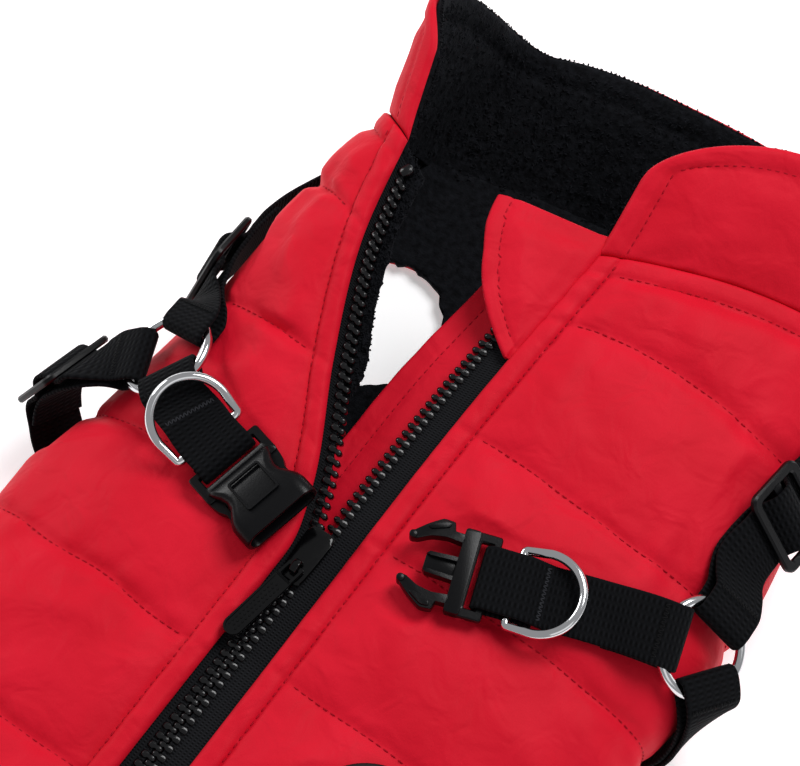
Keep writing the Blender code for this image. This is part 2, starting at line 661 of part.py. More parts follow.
def site(side, across, along, lift, turn=0.0):
    """Where a rigid piece sits: its origin and its axes, u along its heading, v to its left
    seen from outside on the right half, and w outwards. The left half is its mirror image."""
    origin = place(side, across, along, lift)
    w = outward(side, np.float64(max(across, 0)), np.float64(along))
    round_it = body(side, across + STEP, along) - body(side, max(across - STEP, 0), along)
    u = unit(round_it - w * (round_it @ w))
    v = np.cross(w, u) * side
    c, t = math.cos(math.radians(turn)), math.sin(math.radians(turn))
    return origin, u * c + v * t, v * c - u * t, w


def at_site(where, points):
    """Local (u, v, w) rows as points."""
    origin, u, v, w = where
    points = np.asarray(points, float)
    return origin + points[..., :1] * u + points[..., 1:2] * v + points[..., 2:] * w


def loop_tube(name, where, line, radius, look, sides=WIRE_SIDES):
    """A round wire along a closed line of (u, v) points in a site's plane."""
    line = np.asarray(line, float)
    ahead = unit(np.roll(line, -1, axis=0) - np.roll(line, 1, axis=0))
    off = np.stack([ahead[:, 1], -ahead[:, 0]], -1)
    turn = np.arange(sides) * 2 * math.pi / sides
    flat = line[:, None] + off[:, None] * (np.cos(turn) * radius)[None, :, None]
    high = np.broadcast_to((np.sin(turn) * radius)[None, :, None], flat.shape[:2] + (1,))
    points = at_site(where, np.concatenate([flat, high], -1))
    count = len(line)
    faces = []
    for i in range(count):
        for k in range(sides):
            j, m = (i + 1) % count, (k + 1) % sides
            faces.append([i * sides + k, i * sides + m, j * sides + m, j * sides + k])
    return from_points(name, points.reshape(-1, 3), faces, look)


def ring_site(side, turn=0.0):
    across, along, extra = RING_AT[side]
    return site(side, across, along, RING_LEVEL + extra, turn)


def ring(side, name):
    turn = np.arange(RING_STEPS) * 2 * math.pi / RING_STEPS
    line = np.stack([np.cos(turn), np.sin(turn)], -1) * RING_RADIUS
    return loop_tube(name, ring_site(side), line, RING_WIRE, "chrome")


def dee_line():
    """A D: its bar along v at u = 0, its bow reaching out along u."""
    corner = DEE_CORNER
    turn = np.linspace(-math.pi / 2, math.pi / 2, DEE_STEPS)
    straight = DEE_DEPTH - DEE_HALF
    bow = np.stack([straight + DEE_HALF * np.cos(turn), DEE_HALF * np.sin(turn)], -1)
    bar = [(0.6, DEE_HALF - 0.6), (0, DEE_HALF - corner), (0, corner - DEE_HALF), (0.6, 0.6 - DEE_HALF)]
    return np.concatenate([bow, bar])


def through(rows, count):
    """A smooth line through rows of numbers, evenly spaced along it."""
    rows = np.asarray(rows, float)
    run = np.concatenate([[0], np.cumsum(np.linalg.norm(np.diff(rows[:, :2], axis=0), axis=1))])
    slopes = np.gradient(rows, run, axis=0)
    at = np.linspace(0, run[-1], count)
    i = np.clip(np.searchsorted(run, at) - 1, 0, len(run) - 2)
    wide = (run[i + 1] - run[i])[:, None]
    f = (at - run[i])[:, None] / wide
    return at, (
        rows[i] * (1 + 2 * f) * (1 - f) ** 2
        + rows[i + 1] * f * f * (3 - 2 * f)
        + slopes[i] * wide * f * (1 - f) ** 2
        - slopes[i + 1] * wide * f * f * (1 - f)
    )


def strap_line(side, turn, rows, top, under, weave=None, far=None):
    """A strap's centres and its sideways directions. It starts on its lower layer, turns round
    the ring's wire and goes out along rows on top. weave is the distance where it passes a
    tri-glide, and far is how far back from its other end it lies over a D's bar."""
    where = ring_site(side, turn)
    first = RING_AT[side]
    heading = math.radians(turn)
    step = RING_RADIUS * np.array([math.cos(heading), math.sin(heading), 0.0])
    close = tuple(np.array(first) + step)
    run, way = through([first, close, *rows], WAY_POINTS)

    def at(distance, plane, lift):
        spot = [np.interp(distance, run, way[:, k]) for k in range(3)]
        on = place(side, spot[0], spot[1], lift + spot[2])
        flat = at_site(where, (distance, 0.0, plane))
        ahead = [np.interp(min(distance + STEP, run[-1]), run, way[:, k]) for k in range(3)]
        behind = [np.interp(max(distance - STEP, 0), run, way[:, k]) for k in range(3)]
        along = place(side, *ahead[:2], lift + ahead[2]) - place(side, *behind[:2], lift + behind[2])
        across = np.cross(outward(side, np.float64(spot[0]), np.float64(spot[1])), along)
        across = unit(across) * side
        mix = float(smooth((distance - FLAT_TO) / BLEND))
        return flat + (on - flat) * mix, unit(where[2] + (across - where[2]) * mix)

    end = run[-1] if far is None else run[-1] - GAP / 30
    stub = under if far is None else min(under, (end - HAIRPIN_AT + 1.5) / 2)
    out = [at(d, -HAIRPIN, WEB_LEVEL) for d in np.arange(stub, HAIRPIN_AT + 1, -STRAP_STEP)]
    out.append(at(HAIRPIN_AT, -HAIRPIN, WEB_LEVEL))
    out += [turned(where, HAIRPIN_AT, angle, -1) for angle in HAIRPIN_TURN]
    stops = [HAIRPIN_AT, *np.arange(HAIRPIN_AT + STRAP_STEP, end - STRAP_STEP / 2, STRAP_STEP), end]
    glide = None
    if weave:
        glide = glide_site(at, weave, top)
        reach = WEAVE_STEPS[-1]
        clear = [d for d in stops if abs(d - weave) > reach + STRAP_STEP / 2]
        stops = sorted(clear + [weave + d for d in WEAVE_STEPS])
    for distance in stops:
        if weave and abs(distance - weave) <= reach:
            up = GLIDE_RISE if abs(distance - weave) < GLIDE_BAR else -GLIDE_RISE
            out.append((at_site(glide, (distance - weave, 0.0, up)), glide[2]))
            continue
        raised = 0.0
        if far is not None:
            climb = smooth((distance - end + far + HAIRPIN_AT) / DEE_CLIMB)
            raised = (2 * HAIRPIN - LAYER) * climb
        out.append(at(distance, HAIRPIN, top + raised))
    if far is None:
        return out, glide
    bar = bar_site(at, end)
    out += [turned(bar, 0.0, -angle, 1) for angle in HAIRPIN_TURN]
    out += [at(d, -HAIRPIN, WEB_LEVEL) for d in np.arange(end, end - stub + HAIRPIN_AT, -STRAP_STEP)]
    return out, bar


def turned(where, middle, angle, way):
    """A point on the turn round a wire or bar, way being -1 at a strap's start and 1 at its end."""
    a = math.radians(angle)
    return at_site(where, (middle + way * HAIRPIN * math.cos(a), 0.0, HAIRPIN * math.sin(a))), where[2]


def glide_site(at, weave, top):
    """The site of a tri-glide's plate, flat over the strap's outer layer."""
    middle, v = at(weave, HAIRPIN, top)
    u = unit(at(weave + STRAP_STEP, HAIRPIN, top)[0] - at(weave - STRAP_STEP, HAIRPIN, top)[0])
    w = unit(np.cross(u, v))
    w *= np.sign(w @ (at(weave, HAIRPIN, top + 1)[0] - middle))
    return middle + w * GLIDE_RISE, u, v, w


def bar_site(at, end):
    """The site of a buckle's bar, at the far end of a centre strap."""
    low, v = at(end, 0.0, WEB_LEVEL)
    w = unit(at(end, 0.0, WEB_LEVEL + 1)[0] - low)
    u = unit(low - at(end - 2 * STRAP_STEP, 0.0, WEB_LEVEL)[0])
    u = unit(u - w * (u @ w))
    return low + w * HAIRPIN, u, unit(v - w * (v @ w)), w


def ribbon_of(name, line, wide):
    centres = np.array([p for p, _ in line])
    sideways = np.array([v for _, v in line])
    return ribbon(name, centres, sideways, wide, WEB_THICK, "black_webbing")


def strap(side, name, plan):
    """A strap from its ring outwards, doubled on its way, and its tri-glide's site if it has one."""
    line, glide = strap_line(side, plan["turn"], plan["rows"], WEB_LEVEL + LAYER, plan["under"], plan["glide"])
    ribbon_of(name, line, STRAP_WIDE)
    return glide


def centre_strap(side, name):
    """The strap over the back from a ring to its half of the buckle, and the bar's site."""
    plan = CENTRE_STRAPS[side]
    line, bar = strap_line(side, plan["turn"], plan["rows"], WEB_LEVEL + LAYER, CENTRE_UNDER, None, DEE_BACK)
    ribbon_of(name, line, STRAP_WIDE)
    return bar


def matrix_of(where):
    """A site as a matrix in metres. Its v axis is turned where need be, so nothing is mirrored."""
    origin, u, v, w = where
    if np.cross(u, v) @ w < 0:
        v = -v
    columns = np.stack([u, v, w, to_world(origin)], axis=1)
    return Matrix([*columns.tolist(), [0, 0, 0, 1]])


def flat_shape(name, outlines, thick, where, look, lift=0.0):
    """A flat outline with its holes, as a plate on a site, made a mesh."""
    curve = bpy.data.curves.new(name + "_outline", "CURVE")
    curve.dimensions, curve.fill_mode, curve.extrude = "2D", "BOTH", thick / 2 * MM
    for outline in outlines:
        spline = curve.splines.new("POLY")
        spline.points.add(len(outline) - 1)
        for point, (u, v) in zip(spline.points, outline):
            point.co = (u * MM, v * MM, lift * MM, 1)
        spline.use_cyclic_u = True
    drawn = bpy.data.objects.new(name + "_outline", curve)
    bpy.context.scene.collection.objects.link(drawn)
    graph = bpy.context.evaluated_depsgraph_get()
    data = bpy.data.meshes.new_from_object(drawn.evaluated_get(graph))
    bpy.data.objects.remove(drawn)
    data.name = name
    shape = bmesh.new()
    shape.from_mesh(data)
    bmesh.ops.remove_doubles(shape, verts=shape.verts, dist=0.00001)
    bmesh.ops.recalc_face_normals(shape, faces=shape.faces)
    shape.to_mesh(data)
    shape.free()
    data.materials.clear()
    thing = finish(data, name, look)
    thing.matrix_world = matrix_of(where)
    return thing


def box_outline(u0, u1, v0, v1):
    return [(u0, v0), (u1, v0), (u1, v1), (u0, v1)]


def rounded(u0, u1, v0, v1, radius, steps=3):
    """A rectangle's outline with round corners."""
    out = []
    corners = ((u1, v1, 0), (u0, v1, 90), (u0, v0, 180), (u1, v0, 270))
    for cu, cv, first in corners:
        mu = cu - radius * (1 if cu == u1 else -1)
        mv = cv - radius * (1 if cv == v1 else -1)
        for k in range(steps + 1):
            a = math.radians(first + 90 * k / steps)
            out.append((mu + radius * math.cos(a), mv + radius * math.sin(a)))
    return out


def block(name, where, low, high):
    """A box in a site's axes, kept as a helper for a Boolean."""
    shape = bmesh.new()
    bmesh.ops.create_cube(shape, size=1.0)
    low, high = np.array(low, float) * MM, np.array(high, float) * MM
    middle, size = (low + high) / 2, high - low
    bmesh.ops.transform(
        shape, matrix=Matrix.Translation(middle) @ Matrix.Diagonal((*size, 1)), verts=shape.verts
    )
    data = bpy.data.meshes.new(name)
    shape.to_mesh(data)
    shape.free()
    thing = bpy.data.objects.new(name, data)
    bpy.data.collections["cutters"].objects.link(thing)
    thing.matrix_world = matrix_of(where)
    thing.hide_render, thing.display_type = True, "WIRE"
    return thing


def join(thing, other):
    """Adds the helper's shape to the thing, as one body."""
    tool = thing.modifiers.new("join_" + other.name, "BOOLEAN")
    tool.operation, tool.solver, tool.object = "UNION", "EXACT", other


def tri_glide(name, where):
    """A tri-glide: a plate with a middle bar and a slot on each side of it."""
    wide, long, thick = GLIDE
    slot = wide / 2 - GLIDE_END
    outlines = [rounded(-long / 2, long / 2, -wide / 2, wide / 2, 3.0)]
    for way in (-1, 1):
        near, far = GLIDE_BAR / 2 * way, (long / 2 - GLIDE_BAR) * way
        outlines.append(box_outline(min(near, far), max(near, far), -slot, slot))
    return flat_shape(name, outlines, thick, where, "black_plastic")


def dee(side, name, bar):
    """A D ring whose bar lies in the strap's loop beside the buckle's bar."""
    origin, u, v, w = bar
    origin = origin - u * DEE_BACK
    rest = math.radians(DEE_REST[side])
    out = -u * math.cos(rest) + w * math.sin(rest)
    up = w * math.cos(rest) + u * math.sin(rest)
    thing = loop_tube(name, (origin, out, v, up), dee_line(), DEE_WIRE, "chrome")
    on_axis(thing, origin)
    return thing


def on_axis(thing, origin):
    """Puts an object's own origin on its joint's axis and leaves its shape where it is."""
    at = Vector(to_world(origin))
    thing.data.transform(Matrix.Translation(-at))
    thing.location = at


def buckle_male(where):
    """The plug half: a strap frame, two sprung prongs and a middle guide."""
    foot = BUCKLE_WINDOW + 2 * GAP
    one_side = [(foot, BUCKLE_HALF)] + [(BUCKLE_BASE + u, v) for u, v in PRONG + GUIDE]
    outline = one_side + [(u, -v) for u, v in reversed(one_side)]
    thing = strap_frame("buckle_male", where)
    prongs = flat_shape("male_prongs", [outline], MALE_THICK, where, "black_plastic")
    as_helper(prongs)
    join(thing, prongs)


def as_helper(thing):
    """Moves a shape from the jacket's pieces to the helpers for Booleans."""
    bpy.data.collections[COLLECTION].objects.unlink(thing)
    bpy.data.collections["cutters"].objects.link(thing)
    thing.hide_render, thing.display_type = True, "WIRE"


def strap_frame(name, where):
    """The thin plate at a buckle half's strap end: the bar, its side arms and the window."""
    inside = STRAP_WIDE / 2 + 2 * GAP
    window = box_outline(BUCKLE_BAR, BUCKLE_WINDOW, -inside, inside)
    plate = rounded(-BUCKLE_BAR, BUCKLE_BASE, -BUCKLE_HALF, BUCKLE_HALF, 0.9)
    return flat_shape(name, [plate, window], FRAME_THICK, where, "black_plastic")


def buckle_female(where):
    """The socket half: a strap frame and a deep open mouth."""
    half, mouth = BUCKLE_HALF, BUCKLE_HALF - FEMALE_SIDE
    low, high = FEMALE_LOW + FEMALE_WALL, FEMALE_HIGH - FEMALE_WALL
    thing = strap_frame("buckle_female", where)
    front = (BUCKLE_BASE - FRAME_THICK, -half, FEMALE_LOW)
    join(thing, block("socket_body", where, front, (FEMALE_END, half, FEMALE_HIGH)))
    cut(thing, block("socket_mouth", where, (BUCKLE_BASE, -mouth, low), (FEMALE_END + 1, mouth, high)))


def zip_site(along):
    """A site on the closed zip's middle line, u pointing to the neck."""
    right, left = (place(side, -TEETH_REACH[side], [along, along - 8], -GAP - TAPE / 2) for side in (1, -1))
    middle = (right + left) / 2
    ahead = unit(middle[0] - middle[1])
    up = unit(np.cross(np.array([1.0, 0, 0]), ahead))
    return middle[0], ahead, np.cross(up, ahead), up


def slider():
    """The zip's slider: two plates joined where the teeth part, and the arch for its pull."""
    where = zip_site(0.0)
    top, bottom = PLATE_GAP + PLATE / 2, -PLATE_GAP - PLATE / 2
    outline = SLIDER_PLATE + tuple((u, -v) for u, v in reversed(SLIDER_PLATE))
    thing = flat_shape("zip_slider", [outline], PLATE, where, "zip_metal", lift=top)
    back, front, half = SLIDER_UNDER
    low, high = bottom - PLATE / 2, bottom + PLATE / 2
    join(thing, block("slider_under", where, (back, -half, low), (front, half, high)))
    start, end = SLIDER_POST
    edges = [place(side, -TEETH_REACH[side] - TEETH_HALF, (start, end), 0.0)[:, 0] for side in (1, -1)]
    low, high = where[0][0] - edges[0].min() + GAP / 2, where[0][0] - edges[1].max() - GAP / 2
    join(thing, block("slider_post", where, (start, low, bottom), (end, high, top)))
    foot = -PULL_RISE - PLATE / 4
    turn = np.linspace(0, math.pi, ARCH_STEPS)
    arch = [(-ARCH_OUT, foot)] + [(-ARCH_OUT * math.cos(a), ARCH_OUT * math.sin(a)) for a in turn]
    arch += [(ARCH_OUT, foot), (ARCH_IN, foot)]
    arch += [(ARCH_IN * math.cos(a), ARCH_IN * math.sin(a)) for a in turn] + [(-ARCH_IN, foot)]
    origin = pull_axis()[0]
    upright = (origin, where[1], where[3], -where[2])
    bridge = flat_shape("slider_arch", [arch], 2 * ARCH_HALF, upright, "zip_metal")
    as_helper(bridge)
    join(thing, bridge)


def pull_axis():
    """The pull's hinge: the point above the slider, and the pull's own axes."""
    origin, ahead, left, up = zip_site(0.0)
    yaw = math.radians(PULL_YAW)
    flat, lift = left * math.sin(yaw) - ahead * math.cos(yaw), math.radians(PULL_LIFT)
    u, w = flat * math.cos(lift) + up * math.sin(lift), up * math.cos(lift) - flat * math.sin(lift)
    return origin + ahead * PULL_AXIS_AT + up * (PLATE_GAP + PLATE + PULL_RISE), u, np.cross(w, u), w


def pull():
    """The pull tab, lying back on the closed teeth."""
    where = pull_axis()
    half, long = PULL_HALF, PULL_LENGTH
    turn = np.linspace(-math.pi / 2, math.pi / 2, ARCH_STEPS)
    end = [(long - half + half * math.cos(a), half * math.sin(a)) for a in turn]
    back, ear = -PULL_THICK / 2, PULL_EAR
    outline = [(back, -ear), (PULL_WINDOW, -ear)] + end + [(PULL_WINDOW, ear), (back, ear)]
    hole = box_outline(PULL_THICK / 2, PULL_WINDOW, -PULL_EYE, PULL_EYE)
    flat_shape("zip_pull", [outline, hole], PULL_THICK, where, "zip_metal")


def patch():
    """A plain round rubber patch on the right back: two fans of rings, joined at the rim."""
    turn = np.arange(PATCH_SIDES) * 2 * math.pi / PATCH_SIDES
    radii, full = np.array(PATCH_PROFILE).T[:, :, None]
    across = PATCH_AT[0] + PATCH_RADIUS * radii * np.cos(turn)
    along = PATCH_AT[1] + PATCH_RADIUS * radii * np.sin(turn)
    base = thickness(1, across, along) + GAP
    upper = place(1, across, along, base + PATCH_THICK * full).reshape(-1, 3)
    lower = place(1, across, along, base).reshape(-1, 3)
    middles = [part[:PATCH_SIDES].mean(axis=0) for part in (upper, lower)]
    points = np.concatenate([upper, lower, middles])
    index = np.arange(len(upper)).reshape(len(radii), PATCH_SIDES)
    index = np.concatenate([index, index[:, :1]], axis=1)
    faces = []
    for first, middle in ((0, 2 * len(upper)), (len(upper), 2 * len(upper) + 1)):
        at = index + first
        rings = np.stack([at[:-1, :-1], at[:-1, 1:], at[1:, 1:], at[1:, :-1]], axis=-1)
        faces += rings.reshape(-1, 4).tolist() + [[middle, a, b] for a, b in zip(at[0], at[0, 1:])]
    rim, under = index[-1], index[-1] + len(upper)
    faces += [[a, b, c, d] for a, b, c, d in zip(rim, rim[1:], under[1:], under)]
    from_points("round_patch", points, [[int(i) for i in face] for face in faces], "black_rubber")


def build():
    for thing in list(bpy.data.objects):
        bpy.data.objects.remove(thing)
    for name in (COLLECTION, "cutters"):
        bpy.context.scene.collection.children.link(bpy.data.collections.new(name))
    back_panel(1, "back_right")
    back_panel(-1, "back_left")
    belly()
    collar()
    zip_half(1, "zip_right")
    zip_half(-1, "zip_left")
    slider()
    pull()
    wind_flap()
    chin_guard()
    left_facing()
    patch()
    for side, hand in ((1, "right"), (-1, "left")):
        ring(side, "ring_" + hand)
        for kind in ("shoulder", "belly"):
            glide = strap(side, f"{kind}_strap_{hand}", STRAPS[kind + "_strap", side])
            if glide:
                tri_glide(f"{kind}_glide_{hand}", glide)
        bar = centre_strap(side, "centre_strap_" + hand)
        dee(side, "dee_" + hand, bar)
        if side > 0:
            buckle_male(bar)
        else:
            buckle_female(bar)
    bpy.context.view_layer.update()


build()
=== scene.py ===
"""The looks of a padded dog jacket with a half-open back zip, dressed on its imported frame.

Shapes are worked out in millimetres from the zip slider: X across to the right half, Y to the
neck, Z up from the floor. A place on the jacket is given as a tailor would: side (+1 right,
-1 left), across (distance from the zip edge round the body), along (from the slider to the neck)
and lift (above the wall's inner face). to_world puts the points into the frame, in metres.
"""

import math

import bpy
import numpy as np
from mathutils import Matrix, Vector


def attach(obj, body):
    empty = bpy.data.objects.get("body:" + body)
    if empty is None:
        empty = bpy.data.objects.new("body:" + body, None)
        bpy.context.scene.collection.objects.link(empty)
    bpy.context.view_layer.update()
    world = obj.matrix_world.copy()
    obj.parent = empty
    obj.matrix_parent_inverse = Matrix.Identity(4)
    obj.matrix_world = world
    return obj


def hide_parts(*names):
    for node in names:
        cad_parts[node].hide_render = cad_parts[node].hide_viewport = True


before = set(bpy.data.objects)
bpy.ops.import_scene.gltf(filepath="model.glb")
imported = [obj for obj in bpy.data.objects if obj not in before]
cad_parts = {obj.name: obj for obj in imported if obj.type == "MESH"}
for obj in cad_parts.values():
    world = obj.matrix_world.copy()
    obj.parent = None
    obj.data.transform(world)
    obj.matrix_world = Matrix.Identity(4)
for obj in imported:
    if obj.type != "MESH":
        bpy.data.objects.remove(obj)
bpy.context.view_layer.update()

MM = 0.001
GAP = 0.3  # between pieces that touch
ORIGIN = np.array([6.65, 2.05, 0.0])  # the frame's origin, from the slider
COLLECTION = bpy.context.scene.collection
FAR_OFF = 1e3  # stands for a distance past anything on the jacket
NOISE_CELLS = 64  # of the noise's lattice, each way

# The body's sections, from hem to neck: where the section lies, the x of the widest point on
# each side, its height, and the zip edges.
SECTION_COLUMNS = ("along", "right", "left", "side_z", "right_x", "right_z", "left_x", "left_z")
SECTIONS = (
    (-200, 84, -80, 17, 10.0, 33, -5.6, 33),
    (-140, 90, -87, 19, 10.0, 40, -5.6, 40),
    (-85, 95, -91, 21, 10.0, 45, -5.6, 45),
    (-30, 99, -88, 22, 10.0, 48, -5.6, 48),
    (-12, 101, -85.5, 22.5, 10.0, 49.3, -5.6, 49.3),
    (0, 102, -83, 23, 10.0, 50, -6.0, 50),
    (15, 103, -80, 24, 10.0, 51, -10.5, 52),
    (55, 104, -74, 26, 10.5, 54, -28.0, 59),
    (95, 97, -71, 28, 12.0, 57, -42.0, 67),
    (130, 86, -66, 30, 14.0, 60, -49.0, 73),
)
TABLE = {name: np.array([row[i] for row in SECTIONS], float) for i, name in enumerate(SECTION_COLUMNS)}
SQUARENESS = 2.5  # of the upper quarter of a section, 2 being an ellipse
QUARTER_POINTS = 40
MAP_FROM, MAP_TO, MAP_ACROSS = -206.0, 145.0, 262.0  # the body map's reach along and across
BELLY_FLAT = 0.78  # share of the half width that lies flat
SEAM_SHARE = 0.55  # of the lower quarter that belongs to the back panel
NECK, HEM = 130.0, -197.0
NECK_LEAN, NECK_LEAN_FROM = 34.0, 50.0
SETBACK = {1: (9.0, 40.0), -1: (16.0, 70.0)}
WALL, BELLY_WALL = 2.6, 2.0
CROWN = 4.6  # the most that the cloth rises under straps
TOPSTITCH = 6.8  # from a finished edge
QUILT_FIRST = {1: 104.0, -1: 98.0}
QUILT_STEP = 46.0
QUILT_LINES = 7

COLLAR_HEIGHT, THROAT_MORE = 43.0, 4.5
COLLAR_WALL, COLLAR_LINING, FLEECE = 2.0, 2.4, 1.8
COLLAR_CORNER, COLLAR_END_SHARE = 34.0, 0.62
COLLAR_WAYS = {
    1: ((-0.05, 0.88, 0.40), (-0.10, 0.86, 0.38), (0.0, 0.72, 0.62)),
    -1: ((-0.26, 0.88, 0.40), (0.10, 0.86, 0.38), (0.0, 0.72, 0.62)),
}
SHOULDER_AT, THROAT_FROM = 0.4, 0.7

LEG_HOLES = ((52.0, 90.0), (-44.0, 90.0))
LEG_HOLE_HALF = (22.0, 24.0)

TAPE, TAPE_TUCK = 0.8, 5.0
TEETH_REACH = {1: 8.6, -1: 4.2}  # from the fabric edge to the middle of the teeth
TEETH_HIGH = 2.6
ZIP_TOP = {1: 122.0, -1: 126.0}
ZIP_BOTTOM = -190.0
TOOTH_PITCH = 3.2

WIND_FLAP_REACH, WIND_FLAP_TOP, WIND_FLAP = 26.0, 118.0, 1.5
WIND_FLAP_DROP, WIND_FLAP_SAG, TEETH_CLEAR = 3.2, 3.0, 6.0
CHIN_GUARD, CHIN_FROM, CHIN_TO, CHIN_REACH = 2.2, 86.0, 137.0, 35.0
CHIN_SLANT, CHIN_CURVE, CHIN_LEAST, CHIN_LOW, CHIN_CLIMB = 0.24, 1.55, 1.2, 1.0, 0.13
FACING_BOTTOM, FACING_PAST, FACING_LEAST, FACING_FADE = 34.0, 10.0, 1.0, 26.0
FACING_IN, FACING_IN_MORE, FACING_IN_FROM, FACING_DROP = 17.0, 20.0, 90.0, 1.4

STRAP_WIDE, WEB_THICK = 18.4, 1.4
RING_RADIUS, RING_WIRE = 13.5, 1.5
DEE_WIRE, DEE_HALF, DEE_DEPTH, DEE_CORNER = 1.4, 11.8, 19.2, 3.0
WEB_LEVEL = CROWN + GAP + WEB_THICK / 2 + 0.2
HAIRPIN = RING_WIRE + GAP + WEB_THICK / 2
LAYER = WEB_THICK + GAP
RING_LEVEL = WEB_LEVEL + HAIRPIN
RING_AT = {1: (90.0, 43.0, 0.0), -1: (52.0, 26.5, 1.3)}  # across, along, extra lift
# The straps' ways from their ring: rows of across, along and extra lift.
STRAPS = {
    ("shoulder_strap", 1): {"turn": 92, "under": 56, "glide": 40, "rows": (
        (87, 62, 0), (87, 84, 0), (90, 104, -1.7), (94, 120, -2.4))},
    ("shoulder_strap", -1): {"turn": 96, "under": 58, "glide": 39, "rows": (
        (50, 46, 0), (50, 66, 1.5), (54, 88, 2), (59, 106, -1.4), (62, 119, -2.2))},
    ("belly_strap", 1): {"turn": -36, "under": 36, "glide": None, "rows": (
        (106, 31, 0), (114, 26, 0), (120, 23, -1.4))},
    ("belly_strap", -1): {"turn": -25, "under": 50, "glide": 36, "rows": (
        (66, 17, 5), (77, 8, 9), (88, 1, 11), (97, -5, 6), (102.5, -8, -2))},
}
CENTRE_STRAPS = {
    1: {"turn": 203, "rows": ((62, 31, 0), (44, 23.5, 0), (36, 20.5, 0))},
    -1: {"turn": 222, "rows": ((43, 18, 0), (34, 10.8, 0), (26.5, 8.4, 0))},
}
HAIRPIN_AT = 9.5
FLAT_TO, BLEND = 14.5, 11.0
CENTRE_UNDER = 40.0
DEE_BACK, DEE_CLIMB = 7.5, 6.5
TACK_INSET, TACK_PITCH, TACK_SLANT = 1.6, 0.62, 0.35
RIM_SEAM = 8.5  # from the fleece's rim to the stitching that sinks into it
THROAT_EASE = 14  # steps of the collar on each side of its middle
LINING_LAP = 1.6  # of the belly fleece over the back halves, inside the side seams
STITCH_STEP = 2.5
TACK_FROM_RING, TACK_FROM_BAR = 11.0, 20.0  # along the strap, from where it turns
DEE_REST = {1: 10.0, -1: 28.0}
GLIDE_WIDE, GLIDE_LONG, GLIDE_THICK, GLIDE_BAR, GLIDE_END = 27.0, 22.0, 2.2, 3.2, 3.0
GLIDE_RISE = GLIDE_THICK / 2 + GAP + WEB_THICK / 2
STRAP_STEP = 3.5
HAIRPIN_TURN = (-60, -30, 0, 30, 60)
WEAVE_STEPS = (-12.5, -7.2, -2.4, 2.4, 7.2, 12.5)  # a strap's points through a tri-glide
BUCKLE_HALF, BUCKLE_BAR, FRAME_THICK, BUCKLE_WINDOW, BUCKLE_BASE = 12.5, 1.0, 2.6, 4.6, 9.0
MALE_THICK = 4.2
# Outlines of one side of the plug: how far along u past its base, and how far from its middle.
BARB = ((0, 10.3), (3.2, 10.5), (4.0, 12.9), (7.4, 13.1), (11.2, 10.6), (14.6, 7.6), (15.4, 6.5), (14.6, 5.4),
        (13.0, 5.5), (9.5, 7.3), (5.0, 8.1), (0, 7.7))
RIDGE = ((4.9, 12.3), (7.2, 12.4), (10.9, 10.0), (10.0, 9.2), (5.2, 10.9))
RAIL = ((0, 3.5), (8.6, 3.1), (9.4, 2.3), (8.4, 1.9), (0, 2.2))
FEMALE_END, FEMALE_LOW, FEMALE_HIGH, FEMALE_WALL = 27.0, -2.9, 6.0, 1.4

PLATE_GAP, PLATE = TEETH_HIGH / 2 + 0.6, 1.3
PULL_AXIS_AT, PULL_RISE, PULL_YAW, PULL_LIFT = -6.5, 1.4, 10.0, 2.0
PULL_LENGTH, PULL_HALF, PULL_THICK, PULL_WINDOW = 27.0, 2.9, 1.3, 4.4
PULL_EAR, PULL_EYE = 2.7, 1.75  # half widths beside its window and inside it
SLIDER_PLATE = ((-10.0, -3.4), (4.0, -4.4), (7.0, -3.2))  # one side of its top, along and across
SLIDER_UNDER = (-9.5, 6.8, 3.6)  # from, to and half width of its lower plate
SLIDER_POST = (5.2, 6.6)
ARCH_IN, ARCH_OUT, ARCH_HALF = 1.35, 2.3, 1.1
PATCH_AT, PATCH_RADIUS, PATCH_THICK = (50.6, -56.5), 20.5, 1.2


# Numbers and fields


def smooth(x):
    """Eases from 0 to 1 as x does: three times its square less twice its cube."""
    x = np.clip(x, 0.0, 1.0)
    return x * x * (3 - 2 * x)


def unit(v):
    return v / np.maximum(np.linalg.norm(v, axis=-1, keepdims=True), 1e-9)


def ripple(x, y, size, seed):
    """Smooth noise from -1 to 1: random values on a lattice of the given size, eased between."""
    n = NOISE_CELLS
    lattice = np.random.default_rng(seed).uniform(-1, 1, (n, n))
    u, v = np.broadcast_arrays(np.asarray(x, float) / size, np.asarray(y, float) / size)
    i, j = np.floor(u).astype(int), np.floor(v).astype(int)
    fu, fv = smooth(u - i), smooth(v - j)
    a, b = lattice[i % n, j % n], lattice[(i + 1) % n, j % n]
    c, d = lattice[i % n, (j + 1) % n], lattice[(i + 1) % n, (j + 1) % n]
    return (a * (1 - fu) + b * fu) * (1 - fv) + (c * (1 - fu) + d * fu) * fv


def distances(line):
    """How far along a line of points each of them is."""
    return np.concatenate([[0], np.cumsum(np.linalg.norm(np.diff(line, axis=0), axis=1))])


def read_line(at, run, rows):
    """Rows of three numbers, given at the distances in run, read off at other distances."""
    return np.stack([np.interp(at, run, rows[:, k]) for k in range(3)], -1)


def eased(a, b, slope_a, slope_b, f):
    """A cubic from a to b as f goes from 0 to 1, with the slopes given at its two ends."""
    rest = 1 - f
    bent = slope_a * f * rest**2 - slope_b * f * f * rest
    return a * (1 + 2 * f) * rest**2 + b * f * f * (3 - 2 * f) + bent


def column(name, along):
    """A column of the section table at any place along, by a cubic through its rows."""
    xs, values = TABLE["along"], TABLE[name]
    slopes = np.gradient(values, xs)
    along = np.clip(along, xs[0], xs[-1])
    i = np.clip(np.searchsorted(xs, along) - 1, 0, len(xs) - 2)
    wide = xs[i + 1] - xs[i]
    return eased(values[i], values[i + 1], slopes[i] * wide, slopes[i + 1] * wide, (along - xs[i]) / wide)


